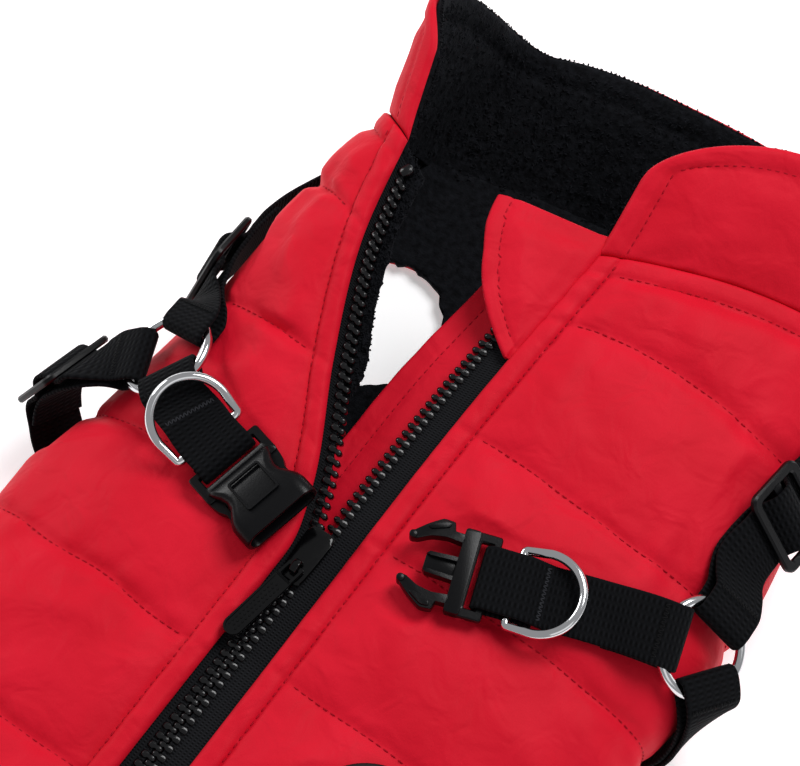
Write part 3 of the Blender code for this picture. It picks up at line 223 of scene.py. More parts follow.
def half_section(side, along):
    """One half of a section: a superellipse quarter over the side point, an ellipse quarter
    under it and the flat belly, as x and z rows with their distance from the zip edge."""
    name = "right" if side > 0 else "left"
    wide, side_z = column(name, along), column("side_z", along)
    edge_x, edge_z = column(name + "_x", along), column(name + "_z", along)
    middle = (column("right", along) + column("left", along)) / 2
    turn = np.linspace(0, math.pi / 2, QUARTER_POINTS)
    upper_x = edge_x + (wide - edge_x) * np.sin(turn) ** (2 / SQUARENESS)
    upper_z = side_z + (edge_z - side_z) * np.cos(turn) ** (2 / SQUARENESS)
    flat = middle + (wide - middle) * BELLY_FLAT
    lower_x = flat + (wide - flat) * np.cos(turn[1:])
    lower_z = side_z + (BELLY_WALL - side_z) * np.sin(turn[1:])
    xs = np.concatenate([upper_x, lower_x, [middle]])
    zs = np.concatenate([upper_z, lower_z, [BELLY_WALL]])
    run = np.concatenate([[0], np.cumsum(np.hypot(np.diff(xs), np.diff(zs)))])
    side_end, flat_end = run[len(upper_x) - 1], run[-2]
    return xs, zs, run, side_end + (flat_end - side_end) * SEAM_SHARE


def body_map(side):
    """The body's inner face on a grid of 1 mm steps, with its outward normals, and for each
    row its whole girth and the place of the side seam."""
    alongs, acrosses = np.arange(MAP_FROM, MAP_TO), np.arange(0.0, MAP_ACROSS)
    points = np.empty((len(alongs), len(acrosses), 3))
    girths, seams = np.empty(len(alongs)), np.empty(len(alongs))
    far, over = SETBACK[side]
    for i, at in enumerate(alongs):
        xs, zs, run, seams[i] = half_section(side, at)
        girths[i] = run[-1]
        points[i, :, 0] = np.interp(acrosses, run, xs)
        points[i, :, 2] = np.interp(acrosses, run, zs)
        share = np.clip(acrosses / run[-1], 0, 1)
        lean = NECK_LEAN * smooth((at - NECK_LEAN_FROM) / (NECK - NECK_LEAN_FROM))
        points[i, :, 1] = at + lean * np.sin(share * math.pi / 2)
        points[i, :, 1] -= far * smooth(at / NECK) * np.exp(-acrosses / over)
        past = acrosses > run[-1]
        points[i, past, 0] -= side * (acrosses[past] - run[-1])
    normals = unit(np.cross(np.gradient(points, axis=1), np.gradient(points, axis=0))) * side
    return {"points": points, "normals": normals, "girth": girths, "seam": seams, "alongs": alongs}


MAPS = {side: body_map(side) for side in (1, -1)}


def read_map(side, what, across, along):
    """A point or normal of the body map between its grid places, mixed from the four around."""
    grid = MAPS[side][what]
    u = np.clip(across, 0, grid.shape[1] - 1.001)
    v = np.clip(along - MAP_FROM, 0, grid.shape[0] - 1.001)
    j, i = u.astype(int), v.astype(int)
    fu, fv = (u - j)[..., None], (v - i)[..., None]
    low = grid[i, j] * (1 - fu) + grid[i, j + 1] * fu
    high = grid[i + 1, j] * (1 - fu) + grid[i + 1, j + 1] * fu
    return low * (1 - fv) + high * fv


def girth(side, along):
    return np.interp(along, MAPS[side]["alongs"], MAPS[side]["girth"])


def seam_at(side, along):
    return np.interp(along, MAPS[side]["alongs"], MAPS[side]["seam"])


def outward(side, across, along):
    across, along = np.broadcast_arrays(np.asarray(across, float), np.asarray(along, float))
    return unit(read_map(side, "normals", np.maximum(across, 0.5), along))


def place(side, across, along, lift):
    """Points at a lift above the body. A negative across goes straight on past the zip edge."""
    across, along, lift = np.broadcast_arrays(
        np.asarray(across, float), np.asarray(along, float), np.asarray(lift, float)
    )
    on = np.maximum(across, 0)
    zero = np.zeros_like(on)
    past = unit(read_map(side, "points", zero, along) - read_map(side, "points", zero + 2, along))
    points = read_map(side, "points", on, along) + past * np.maximum(-across, 0)[..., None]
    return points + outward(side, on, along) * lift[..., None]


def to_world(points):
    return (np.asarray(points, float) - ORIGIN) * MM


# Meshes


def piece(name, points, faces, look, body="jacket", uv=None, crease=60.0):
    """A mesh object at the origin from points in millimetres. uv has a row for each point."""
    mesh = bpy.data.meshes.new(name)
    mesh.from_pydata(to_world(points).tolist(), [], faces if isinstance(faces, list) else faces.tolist())
    if uv is not None:
        layer = mesh.uv_layers.new(name="cloth")
        corners = np.empty(len(mesh.loops), np.int32)
        mesh.loops.foreach_get("vertex_index", corners)
        layer.data.foreach_set("uv", (np.asarray(uv, float) * MM)[corners].astype(np.float32).ravel())
    mesh.shade_smooth()
    mesh.set_sharp_from_angle(angle=math.radians(crease))
    mesh.materials.append(look)
    thing = bpy.data.objects.new(name, mesh)
    COLLECTION.objects.link(thing)
    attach(thing, body)
    return thing


def shell(name, inner, outer, look, uv):
    """A closed wall between two grids of points of one shape, with uv for each grid point."""
    rows, columns = inner.shape[:2]
    index = np.arange(rows * columns).reshape(rows, columns)
    under = index + rows * columns
    quads = np.concatenate([
        np.stack([index[:-1, :-1], index[:-1, 1:], index[1:, 1:], index[1:, :-1]], -1).reshape(-1, 4),
        np.stack([under[:-1, :-1], under[1:, :-1], under[1:, 1:], under[:-1, 1:]], -1).reshape(-1, 4),
        np.stack([index[0, 1:], index[0, :-1], under[0, :-1], under[0, 1:]], -1),
        np.stack([index[-1, :-1], index[-1, 1:], under[-1, 1:], under[-1, :-1]], -1),
        np.stack([index[:-1, 0], index[1:, 0], under[1:, 0], under[:-1, 0]], -1),
        np.stack([index[1:, -1], index[:-1, -1], under[:-1, -1], under[1:, -1]], -1),
    ])
    points = np.concatenate([outer.reshape(-1, 3), inner.reshape(-1, 3)])
    if outward_volume(points, quads) < 0:
        quads = quads[:, ::-1]
    return piece(name, points, quads, look, uv=np.concatenate([uv.reshape(-1, 2)] * 2))


def outward_volume(points, quads):
    """Six times the volume that the faces enclose, negative if they point inwards."""
    a, b, c, d = (points[quads[:, k]] for k in range(4))
    return (np.cross(a, b) * c).sum() + (np.cross(a, c) * d).sum()


def skin(points, count, closed=False):
    """Quads between rings of count points, each ring joined to the next one and, if closed, the
    last to the first. They point outwards."""
    index = np.arange(len(points)).reshape(-1, count)
    around = np.roll(index, -1, axis=1)
    quads = np.stack([index, around, np.roll(around, -1, axis=0), np.roll(index, -1, axis=0)], -1)
    faces = (quads if closed else quads[:-1]).reshape(-1, 4)
    return faces[:, ::-1] if outward_volume(points, faces) < 0 else faces


def capped(points, count):
    """The skin of rings of count points with a flat face over the first ring and the last."""
    faces = skin(points, count)
    first, last = list(range(count)), list(range(len(points) - count, len(points)))
    ends = ((first, faces[0]), (last, faces[-count]))
    return faces.tolist() + [cap[::-1] if follows(face, cap) else cap for cap, face in ends]


def follows(face, ring):
    """Whether a face runs along a ring of points in the ring's own order."""
    pairs = zip(face, np.roll(face, -1))
    return any(a == ring[0] and b == ring[1] for a, b in pairs)


def sweep(profile, centres, across, up, closed=False):
    """A profile of (across, up) rows carried along centres: its points and faces. An open sweep
    is closed by a flat face at each end."""
    profile = np.asarray(profile, float)
    points = centres[:, None] + across[:, None] * profile[None, :, :1] + up[:, None] * profile[None, :, 1:]
    points = points.reshape(-1, 3)
    return points, skin(points, len(profile), True).tolist() if closed else capped(points, len(profile))


def scatter(name, template, faces, origins, axes, look, sizes=None):
    """One joined mesh of a small template repeated at many places. axes holds three arrays, the
    directions of the template's own x, y and z. sizes has a share of its full size for each."""
    template = np.asarray(template, float)
    shapes = np.broadcast_to(template, (len(origins),) + template.shape)
    if sizes is not None:
        shapes = shapes * sizes[:, None, None]
    points = origins[:, None] + sum(shapes[..., k : k + 1] * axes[k][:, None] for k in range(3))
    shift = np.arange(len(origins)) * len(template)
    out = []
    for size in sorted({len(face) for face in faces}):
        group = np.array([list(face) for face in faces if len(face) == size])
        out += (group[None] + shift[:, None, None]).reshape(-1, size).tolist()
    return piece(name, points.reshape(-1, 3), out, look)


def lozenge(sides, rings, half_long, half_wide, half_high, power=2.0):
    """A closed bead: rings of points round the x axis, whose width follows a superellipse."""
    turn = np.arange(sides) * 2 * math.pi / sides
    at = np.linspace(-1, 1, rings + 2)[1:-1]
    wide = (1 - np.abs(at) ** power) ** (1 / power)
    points = [[-half_long, 0, 0]]
    for x, w in zip(at, wide):
        points += [[x * half_long, w * half_wide * math.cos(t), w * half_high * math.sin(t)] for t in turn]
    points.append([half_long, 0, 0])
    faces = []
    for k in range(sides):
        m = (k + 1) % sides
        faces.append([0, 1 + m, 1 + k])
        for r in range(rings - 1):
            a, b = 1 + r * sides, 1 + (r + 1) * sides
            faces.append([a + k, a + m, b + m, b + k])
        last = 1 + (rings - 1) * sides
        faces.append([last + k, last + m, len(points) - 1])
    return np.array(points), faces


STITCH = lozenge(6, 3, 0.9, 0.22, 0.2, 3.0)


def stitch_line(line, normals):
    """Origins and axes of the stitches that lie along a line of points, evenly spaced."""
    step = STITCH_STEP
    run = distances(line)
    at = np.arange(step / 2, run[-1] - step / 2, step)
    spots = read_line(at, run, line)
    u = unit(read_line(at + 0.6, run, line) - spots)
    w = unit(read_line(at, run, normals))
    return spots, u, unit(np.cross(w, u)), w


def sew(name, lines, look):
    """The stitches of several lines as one mesh."""
    parts = [stitch_line(line, normals) for line, normals in lines]
    spots, u, v, w = (np.concatenate([part[k] for part in parts]) for k in range(4))
    return scatter(name, STITCH[0], STITCH[1], spots, (u, v, w), look)


# Looks


def linear(code):
    """A colour such as "C8102A" in sRGB, as linear red, green, blue and alpha."""
    parts = [int(code[i : i + 2], 16) / 255 for i in (0, 2, 4)]
    return [p / 12.92 if p <= 0.04045 else ((p + 0.055) / 1.055) ** 2.4 for p in parts] + [1.0]


def add(tree, kind, settings, **links):
    """Adds a node. settings are its own properties or the values of its inputs, and links join
    its inputs to the sockets given, an underscore standing for a space."""
    made = tree.nodes.new(kind)
    for key, value in settings.items():
        if key in made.inputs:
            made.inputs[key].default_value = value
        else:
            setattr(made, key, value)
    for key, socket in links.items():
        tree.links.new(socket, made.inputs[key.replace("_", " ")])
    return made


def look(name, settings):
    """A material whose shader has these values: it, its tree and the shader."""
    made = bpy.data.materials.new(name)
    made.use_nodes = True
    shader = made.node_tree.nodes["Principled BSDF"]
    for key, value in settings.items():
        shader.inputs[key].default_value = value
    made.diffuse_color = settings["Base Color"]
    return made, made.node_tree, shader


def grains(tree, size, **settings):
    """A noise over the object whose grains are this many millimetres, as the socket of its value."""
    at = add(tree, "ShaderNodeTexCoord", {}).outputs["Object"]
    scale = 1 / (size * MM)
    return add(tree, "ShaderNodeTexNoise", {"Scale": scale, **settings}, Vector=at).outputs["Fac"]


def shaded(tree, shader, value, dark, light, spread=1.0):
    """Colours the shader from dark to light as a value rises. spread is the part of the value's
    range, round its middle, that the change takes."""
    ramp = add(tree, "ShaderNodeValToRGB", {}, Fac=value)
    for end, code, at in zip(ramp.color_ramp.elements, (dark, light), (-spread / 2, spread / 2)):
        end.position, end.color = 0.5 + at, linear(code)
    tree.links.new(ramp.outputs["Color"], shader.inputs["Base Color"])


def worn(tree, shader, value, least, most):
    """Lets the shader's roughness go from least to most as a value rises."""
    rough = add(tree, "ShaderNodeMapRange", {"To Min": least, "To Max": most}, Value=value)
    tree.links.new(rough.outputs["Result"], shader.inputs["Roughness"])


def raised(tree, shader, height, depth, strength=1.0, below=None):
    """A bump of a depth in millimetres under the shader, on top of the one below if given."""
    links = {"Height": height}
    if below is not None:
        links["Normal"] = below.outputs["Normal"]
    bump = add(tree, "ShaderNodeBump", {"Distance": depth * MM, "Strength": strength}, **links)
    tree.links.new(bump.outputs["Normal"], shader.inputs["Normal"])
    return bump


def woven_shell():
    """Brushed polyester pongee over wadding: an even soft red whose raised nap catches a pale
    coral sheen at grazing angles. Threads 0.2 mm apart are drawn 0.8 mm apart so they show, and
    the wadding crumples the cloth in soft patches of 11 mm."""
    made, tree, shader = look("red_polyester_shell", {
        "Base Color": linear("C8102A"), "Roughness": 0.62, "IOR": 1.46, "Specular IOR Level": 0.14,
        "Sheen Weight": 0.07, "Sheen Roughness": 0.4, "Sheen Tint": linear("FF7A76"),
    })
    shaded(tree, shader, grains(tree, 22.0, Detail=3.0), "C60A22", "D4122B", 0.5)
    weave = raised(tree, shader, grains(tree, 0.8, Detail=2.0), 0.12, 0.5)
    raised(tree, shader, grains(tree, 11.0, Detail=2.0, Distortion=0.6), 1.7, 0.6, weave)
    return made


def polar_fleece():
    """Anti-pill polar fleece: matt near-black pile in small clumps, grey where the tips catch
    light. Clumps are about 2 mm, as knitted and brushed."""
    made, tree, shader = look("black_polar_fleece", {
        "Base Color": linear("0B0B0F"), "Roughness": 0.95, "Specular IOR Level": 0.1,
        "Sheen Weight": 0.1, "Sheen Roughness": 0.6, "Sheen Tint": linear("5A5D66"),
    })
    shaded(tree, shader, grains(tree, 2.2, Detail=3.0), "050507", "15161A", 0.4)
    raised(tree, shader, grains(tree, 1.6, Detail=4.0, Roughness=0.65), 1.0, 0.8)
    return made


def ribbed_weave(name, base, painted_crest_highlight, along, across, depth):
    """Woven narrow fabric: ribs across the band, partly broken by the warp, in its own UV. The
    crests are painted greyer than the valleys, as highlights. Ribs are as far apart as along
    and across say, in mm."""
    made, tree, shader = look(name, {
        "Base Color": linear(base), "Roughness": 0.8, "Specular IOR Level": 0.07,
        "Sheen Weight": 0.01, "Sheen Roughness": 0.5,
    })
    where = add(tree, "ShaderNodeUVMap", {"uv_map": "cloth"})
    parts = add(tree, "ShaderNodeSeparateXYZ", {}, Vector=where.outputs["UV"])
    waves = []
    for axis, pitch in (("X", along), ("Y", across)):
        turns = add(tree, "ShaderNodeMath", {"operation": "MULTIPLY"})
        turns.inputs[1].default_value = 2 * math.pi / (pitch * MM)
        tree.links.new(parts.outputs[axis], turns.inputs[0])
        wave = add(tree, "ShaderNodeMath", {"operation": "SINE"})
        tree.links.new(turns.outputs[0], wave.inputs[0])
        waves.append(wave)
    product = add(tree, "ShaderNodeMath", {"operation": "MULTIPLY"})
    for k, wave in enumerate(waves):
        tree.links.new(wave.outputs[0], product.inputs[k])
    both = add(tree, "ShaderNodeMath", {"operation": "ADD"})
    tree.links.new(waves[0].outputs[0], both.inputs[0])
    tree.links.new(product.outputs[0], both.inputs[1])
    half = add(tree, "ShaderNodeMapRange", {"From Min": -1.6, "From Max": 1.6}, Value=both.outputs[0])
    # Painted highlight: the colour follows the ribs' height, greyer on the crests than in the valleys.
    shaded(tree, shader, half.outputs["Result"], base, painted_crest_highlight)
    raised(tree, shader, half.outputs["Result"], depth)
    return made


def moulded(name, colour, roughness, grain, depth, shine, coat=0.0):
    """Moulded plastic or rubber, or a lacquered casting: an even colour with the fine grain of its
    mould, the grains as many millimetres apart as given. A coat gives lacquer its hard shine."""
    made, tree, shader = look(name, {
        "Base Color": linear(colour), "Roughness": roughness, "IOR": 1.5, "Specular IOR Level": shine,
        "Coat Weight": coat, "Coat Roughness": 0.1,
    })
    noise = grains(tree, grain, Detail=2.0)
    raised(tree, shader, noise, depth, 0.5)
    worn(tree, shader, noise, roughness - 0.06, roughness + 0.08)
    return made


def plated(name, colour, roughness):
    """Plated and tumbled metal: a mirror softened by fine wear in patches of 3 mm."""
    made, tree, shader = look(name, {"Base Color": linear(colour), "Roughness": roughness, "Metallic": 1.0})
    worn(tree, shader, grains(tree, 3.0, Detail=4.0), roughness * 0.6, roughness * 1.6)
    return made


def twisted_thread(name, colour):
    """Spun polyester sewing thread: matt, in the colour given, its twist drawn as grains of 0.4 mm.
    A colour darker than the cloth's is painted shade of the dips that the thread sinks into."""
    values = {"Base Color": linear(colour), "Roughness": 0.6, "Specular IOR Level": 0.1}
    made, tree, shader = look(name, values)
    raised(tree, shader, grains(tree, 0.4), 0.08, 0.6)
    return made


RED = woven_shell()
PILE = polar_fleece()
# The light crest colours of the webbing and the zip tape are painted highlights on their ribs.
WEBBING = ribbed_weave("black_polypropylene_webbing", "020203", "101114", 1.5, 2.6, 0.3)
ZIP_TAPE = ribbed_weave("black_zip_tape", "060607", "1F2023", 0.9, 1.3, 0.2)
TEETH = moulded("black_acetal_teeth", "08080A", 0.22, 0.6, 0.02, 0.3, coat=0.2)
NYLON = moulded("black_moulded_nylon", "060608", 0.3, 0.5, 0.05, 0.2)
RUBBER = moulded("black_patch_rubber", "0C0C0E", 0.6, 0.7, 0.05, 0.25)
ZINC = moulded("black_lacquered_zinc", "040405", 0.13, 1.5, 0.02, 0.3)
CHROME = plated("chrome_plated_steel", "D8D8DA", 0.1)
# Painted shade: the red thread is the cloth's own red, painted darker as the shade in the stitch dips.
DIP_SHADED_RED_THREAD = twisted_thread("red_thread_painted_dip_shade", "A80A20")
BLACK_THREAD = twisted_thread("black_sewing_thread", "08080A")
# Partly painted highlight: the grey bar tack is real stitching whose light grey stands for the sheen on the
# webbing's fold.
GREY_THREAD_PAINTED_SHEEN = twisted_thread("grey_thread_painted_sheen", "2A2B2F")


# Back halves


LINE_DRIFT = {1: (-11, -4, 2, 1, 3, -3, 1), -1: (-2, 3, -3, 3, -2, 2, 1)}  # over the side
DRIFT_OVER = 90  # from the zip edge to where the lines have drifted
WOBBLE, WOBBLE_SIZE = 0.9, 19  # of the quilting lines
# The cloth's relief: how high it is, and over what distance it rises or how wide it is.
PUFF, PUFF_POWER, PUFF_RISE = 2.5, 0.7, 4.5  # of the wadding between two quilting lines
LEAST_PUFF = 0.15  # share that a channel has at least
INSIDE = 13  # from the top stitching to where the cloth is at its full height
PUCKER_SIZE = 5.5
LINE_PUCKER, LINE_PUCKER_REACH, LINE_PUCKER_START = 1.1, 7, 1.3  # beside a quilting line
EDGE_PUCKER, EDGE_PUCKER_REACH, EDGE_PUCKER_START = 1.2, 9, 2  # beside the zip edge
SWELL, SWELL_SIZE, SMALL_SWELL, SMALL_SWELL_SIZE = 0.9, 31, 0.35, 13
HEM_STRIP, HEM_RIPPLE = 0.5, 0.3
ROLL, ROLL_RIPPLE, ROLL_RIPPLE_SIZE = 0.9, 0.42, 4.2  # of the folded zip edge
TOP_GROOVE, TOP_GROOVE_WIDE, LINE_GROOVE, LINE_GROOVE_WIDE = 0.6, 0.9, 0.55, 1.3
THINNEST = 1.6
SEAM_FALL = 14  # from the side seam to where the relief starts
PRESSED, FREED = 13.5, 13  # the straps and buckles press the cloth this far from their middles
UNPRESSED = 5.0  # how much higher it may rise past that
BUCKLE_REACH = 26  # of a buckle's half past the last row of its strap
ZIP_FOLD, END_FOLD = 1.6, 1.3  # radii of the folded zip edge, and of the neck and hem edges
HALF_ROWS, HALF_COLUMNS = 285, 82
# Distances of a back half's first grid lines from the zip edge.
EDGE_GRID = np.array([
    0, 0.15, 0.4, 0.9, 1.6, 2.5, 3.4, 4.4, 5.4, 6.0, 6.4, 6.8, 7.2, 7.6, 8.4, 9.4, 10.6, 12
])
LINE_START, SEAM_CLEAR = 2.5, 5  # of a quilting line's stitches, from the top stitching and the seam
ON_CLOTH = 0.2  # a stitch's middle above the cloth
CREASE_BEND = 2.5
# Creases in the cloth, from one place to another: how wide and how high, negative for a trough.
CREASE_COLUMNS = ("side", "across_a", "along_a", "across_b", "along_b", "width", "height")
CREASES = (
    (-1, 8, 118, 24, 66, 4.5, 1.9), (-1, 13, 110, 27, 72, 4, -1.3), (-1, 20, 116, 38, 58, 6, 1.7),
    (-1, 30, 126, 46, 88, 5, 1.4), (-1, 38, 122, 50, 94, 4, -1.1), (-1, 10, 66, 30, 30, 6, 1.4),
    (-1, 18, 54, 40, 34, 4, -0.9), (-1, 50, 120, 66, 80, 7, 1.6), (-1, 36, 46, 72, 26, 7, 1.2),
    (-1, 20, 14, 40, -14, 6, -0.9), (-1, 60, -2, 92, -22, 7, 1.3), (-1, 26, -50, 60, -62, 6, 0.9),
    (-1, 50, -60, 90, -84, 8, 1.3), (-1, 12, -92, 34, -118, 6, 0.9), (-1, 40, -146, 84, -160, 7, 1.2),
    (1, 12, 44, 42, 16, 7, 1.2), (1, 18, 88, 40, 76, 6, -0.8), (1, 58, 98, 88, 62, 7, 1.5),
    (1, 28, 120, 54, 94, 7, 1.2), (1, 14, 4, 34, -22, 6, 0.9), (1, 56, -6, 96, -26, 8, 1.4),
    (1, 70, 6, 100, -8, 6, 1.1), (1, 20, -48, 40, -70, 6, 0.8), (1, 62, -104, 98, -124, 8, 1.3),
    (1, 30, -150, 70, -166, 7, 1.1), (1, 80, -140, 110, -150, 6, -0.9),
)


def quilting(side, across):
    """Where the lines that stitch a back half through lie, at places across: an even spacing,
    drifting towards the side, and never quite straight."""
    lines = [np.full_like(across, NECK - TOPSTITCH)]
    for k in range(QUILT_LINES):
        drift = LINE_DRIFT[side][k] * smooth(across / DRIFT_OVER)
        drift += WOBBLE * ripple(across, 37.0 * k, WOBBLE_SIZE, 11 + side)
        lines.append(QUILT_FIRST[side] - QUILT_STEP * k + drift)
    return lines + [np.full_like(across, HEM + TOPSTITCH)]


def creases(side, across, along):
    """Soft ridges and troughs: a bell across each crease's line, fading out at its ends."""
    total = np.zeros_like(across)
    for row in CREASES:
        crease = dict(zip(CREASE_COLUMNS, row))
        if crease["side"] != side:
            continue
        start = np.array([crease["across_a"], crease["along_a"]], float)
        way = np.array([crease["across_b"], crease["along_b"]]) - start
        du, dv = across - start[0], along - start[1]
        f = (du * way[0] + dv * way[1]) / (way @ way)
        bend = CREASE_BEND * np.sin(math.pi * f) * np.sign(crease["height"])
        off = (du * way[1] - dv * way[0]) / np.hypot(*way) + bend
        ends = np.sin(math.pi * np.clip(f, 0, 1)) ** 0.7
        total += crease["height"] * ends * np.exp(-((off / crease["width"]) ** 2) * 2)
    return total


def strap_ways(side):
    """The lines over one half that its straps and buckle lie along, as across and along rows."""
    ring = RING_AT[side][:2]
    ways = [[ring] + [row[:2] for row in plan["rows"]] for (_, s), plan in STRAPS.items() if s == side]
    centre = [row[:2] for row in CENTRE_STRAPS[side]["rows"]]
    step = unit(np.subtract(centre[-1], centre[-2]))
    return ways + [[ring] + centre + [tuple(np.array(centre[-1]) + BUCKLE_REACH * step)]]


def from_straps(side, across, along):
    """The distance from the nearest strap's middle line or the patch's edge."""
    best = np.hypot(across - PATCH_AT[0], along - PATCH_AT[1]) - PATCH_RADIUS + PRESSED - 2
    best = best if side > 0 else np.full_like(across, FAR_OFF)
    for way in strap_ways(side):
        for a, b in zip(way, way[1:]):
            du, dv = b[0] - a[0], b[1] - a[1]
            f = np.clip(((across - a[0]) * du + (along - a[1]) * dv) / (du * du + dv * dv), 0, 1)
            best = np.minimum(best, np.hypot(across - a[0] - f * du, along - a[1] - f * dv))
    return best


def cloth_lift(side, across, along):
    """The quilted cloth's height: an arch to a power below 1 between stitched lines, with short
    puckers beside them, slow swells, creases, a rolled edge, and flat under the straps."""
    lines = quilting(side, across)
    puff, near = np.zeros_like(across), np.full_like(across, FAR_OFF)
    for high, low in zip(lines, lines[1:]):
        f = np.clip((high - along) / (high - low), 0, 1)
        tall = PUFF * np.minimum(1, (high - low) / QUILT_STEP + LEAST_PUFF)
        puff = np.maximum(puff, tall * (1 - (2 * f - 1) ** 2) ** PUFF_POWER)
    for line in lines:
        near = np.minimum(near, np.abs(along - line))
    past = across - TOPSTITCH
    inside = smooth(past / INSIDE) ** 0.6
    beside_line = np.exp(-near / LINE_PUCKER_REACH) * (1 - np.exp(-near / LINE_PUCKER_START))
    beside_edge = np.exp(-np.abs(past) / EDGE_PUCKER_REACH) * smooth(past / EDGE_PUCKER_START)
    relief = puff * smooth(near / PUFF_RISE) ** 0.8
    relief += LINE_PUCKER * ripple(across + 0.25 * along, along / 9, PUCKER_SIZE, 3 + side) * beside_line
    relief += EDGE_PUCKER * ripple(along + 0.35 * across, across / 14, PUCKER_SIZE, 23 + side) * beside_edge
    swells = SWELL * ripple(across, along, SWELL_SIZE, 5 + side)
    swells += SMALL_SWELL * ripple(across, along, SMALL_SWELL_SIZE, 7 + side)
    lift = WALL + (relief + swells * smooth(near / 6)) * inside
    lift += creases(side, across, along) * smooth(past / 7) * smooth(near / 4)
    body_edge = (along > NECK - TOPSTITCH) | (along < HEM + TOPSTITCH)
    strip = WALL + HEM_STRIP + HEM_RIPPLE * ripple(across, along, 6, 41)
    lift = np.where(body_edge & (across >= TOPSTITCH), strip, lift)
    freed = smooth((from_straps(side, across, along) - PRESSED) / FREED)
    lift = np.minimum(lift, CROWN - GAP / 2 + UNPRESSED * freed)
    rolled = WALL + ROLL * np.sqrt(np.maximum(0, 1 - (across / (TOPSTITCH / 2) - 1) ** 2))
    rolled += ROLL_RIPPLE * ripple(along + 0.6 * across, across / 2, ROLL_RIPPLE_SIZE, 29 + side)
    lift = np.where(across < TOPSTITCH, rolled, lift)
    lift -= TOP_GROOVE * np.exp(-((past / TOP_GROOVE_WIDE) ** 2))
    lift -= LINE_GROOVE * np.exp(-((near / LINE_GROOVE_WIDE) ** 2))
    return WALL + (np.maximum(lift, THINNEST) - WALL) * smooth((seam_at(side, along) - across) / SEAM_FALL)


def round_edge(distance, radius):
    """How far a wall's faces have opened at a distance from its folded edge: a half circle."""
    return np.sqrt(np.clip(1 - (1 - np.clip(distance / radius, 0, 1)) ** 2, 0.002, 1))


def back_half(side, name):
    """A quilted back half as a closed wall, its grid finest at the rolled zip edge."""
    rows = np.concatenate([[NECK, NECK - 0.3, NECK - 0.8], np.linspace(NECK - 1.5, HEM + 1.5, HALF_ROWS),
                           [HEM + 0.8, HEM + 0.3, HEM]])
    near, seam = EDGE_GRID, seam_at(side, rows) - GAP / 2
    far = near[-1] + (seam[:, None] - near[-1]) * np.linspace(0, 1, HALF_COLUMNS)[1:]
    across = np.concatenate([np.broadcast_to(near, (len(rows), len(near))), far], axis=1)
    along = np.broadcast_to(rows[:, None], across.shape)
    opened = np.minimum(round_edge(across, ZIP_FOLD), round_edge(NECK - along, END_FOLD))
    opened = np.minimum(opened, round_edge(along - HEM, END_FOLD))
    lift = cloth_lift(side, across, along)
    middle = WALL / 2
    outer = place(side, across, along, middle + (lift - middle) * opened)
    inner = place(side, across, along, middle * (1 - opened))
    half = shell(name, inner, outer, RED, np.stack([across, along], -1))
    line_with(half, (len(rows) - 1) * (across.shape[1] - 1), PILE)
    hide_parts("back_right" if side > 0 else "back_left")
    lines, spots = [], np.arange(TOPSTITCH + LINE_START, FAR_OFF, 1.5)
    for line in quilting(side, spots)[:-1]:
        keep = spots < seam_at(side, line) - SEAM_CLEAR
        lines.append(on_cloth(side, spots[keep], line[keep]))
    down = np.arange(NECK - 3, HEM + 3, -2.0)
    lines.append(on_cloth(side, np.full_like(down, TOPSTITCH), down))
    hem = np.arange(TOPSTITCH + 1, seam_at(side, HEM) - 4, 2.0)
    lines.append(on_cloth(side, hem, np.full_like(hem, HEM + TOPSTITCH)))
    thread = sew(name + "_stitches", lines, DIP_SHADED_RED_THREAD)


def line_with(thing, count, lining):
    """Gives the second lot of count faces, a shell's inner side, the lining's look."""
    thing.data.materials.append(lining)
    slots = np.zeros(len(thing.data.polygons), np.int32)
    slots[count : 2 * count] = 1
    thing.data.polygons.foreach_set("material_index", slots)


def on_cloth(side, across, along):
    """A line on the quilted cloth and the normals along it, for stitches to lie on."""
    lift = cloth_lift(side, across, along)
    return place(side, across, along, lift + ON_CLOTH), outward(side, across, along)


# Belly


BELLY_ROWS, BELLY_SHARES, BELLY_UV_HALF = 150, 121, 90
HOLE_WAVES = 9  # of the ragged fleece round each leg hole
LINING_HOLE, LINING_RAGGED = -1.5, 0.05  # the fleece's holes are smaller and a little uneven


def belly_sheet(rows, shares, inwards, past):
    """The belly's points between the side seams, moved inwards, for shares from 1, the right
    seam, to -1, the left: each row's girth is shared out evenly. past is how far the sheet laps
    over the seams."""
    out = np.empty((len(rows), len(shares), 3))
    for side, keep in ((1, shares >= 0), (-1, shares < 0)):
        total, seam = girth(side, rows)[:, None], seam_at(side, rows)[:, None]
        across = total - np.abs(shares[keep])[None] * (total - seam + past)
        along = np.broadcast_to(rows[:, None], across.shape)
        out[:, keep] = place(side, across, along, -inwards)
    return out


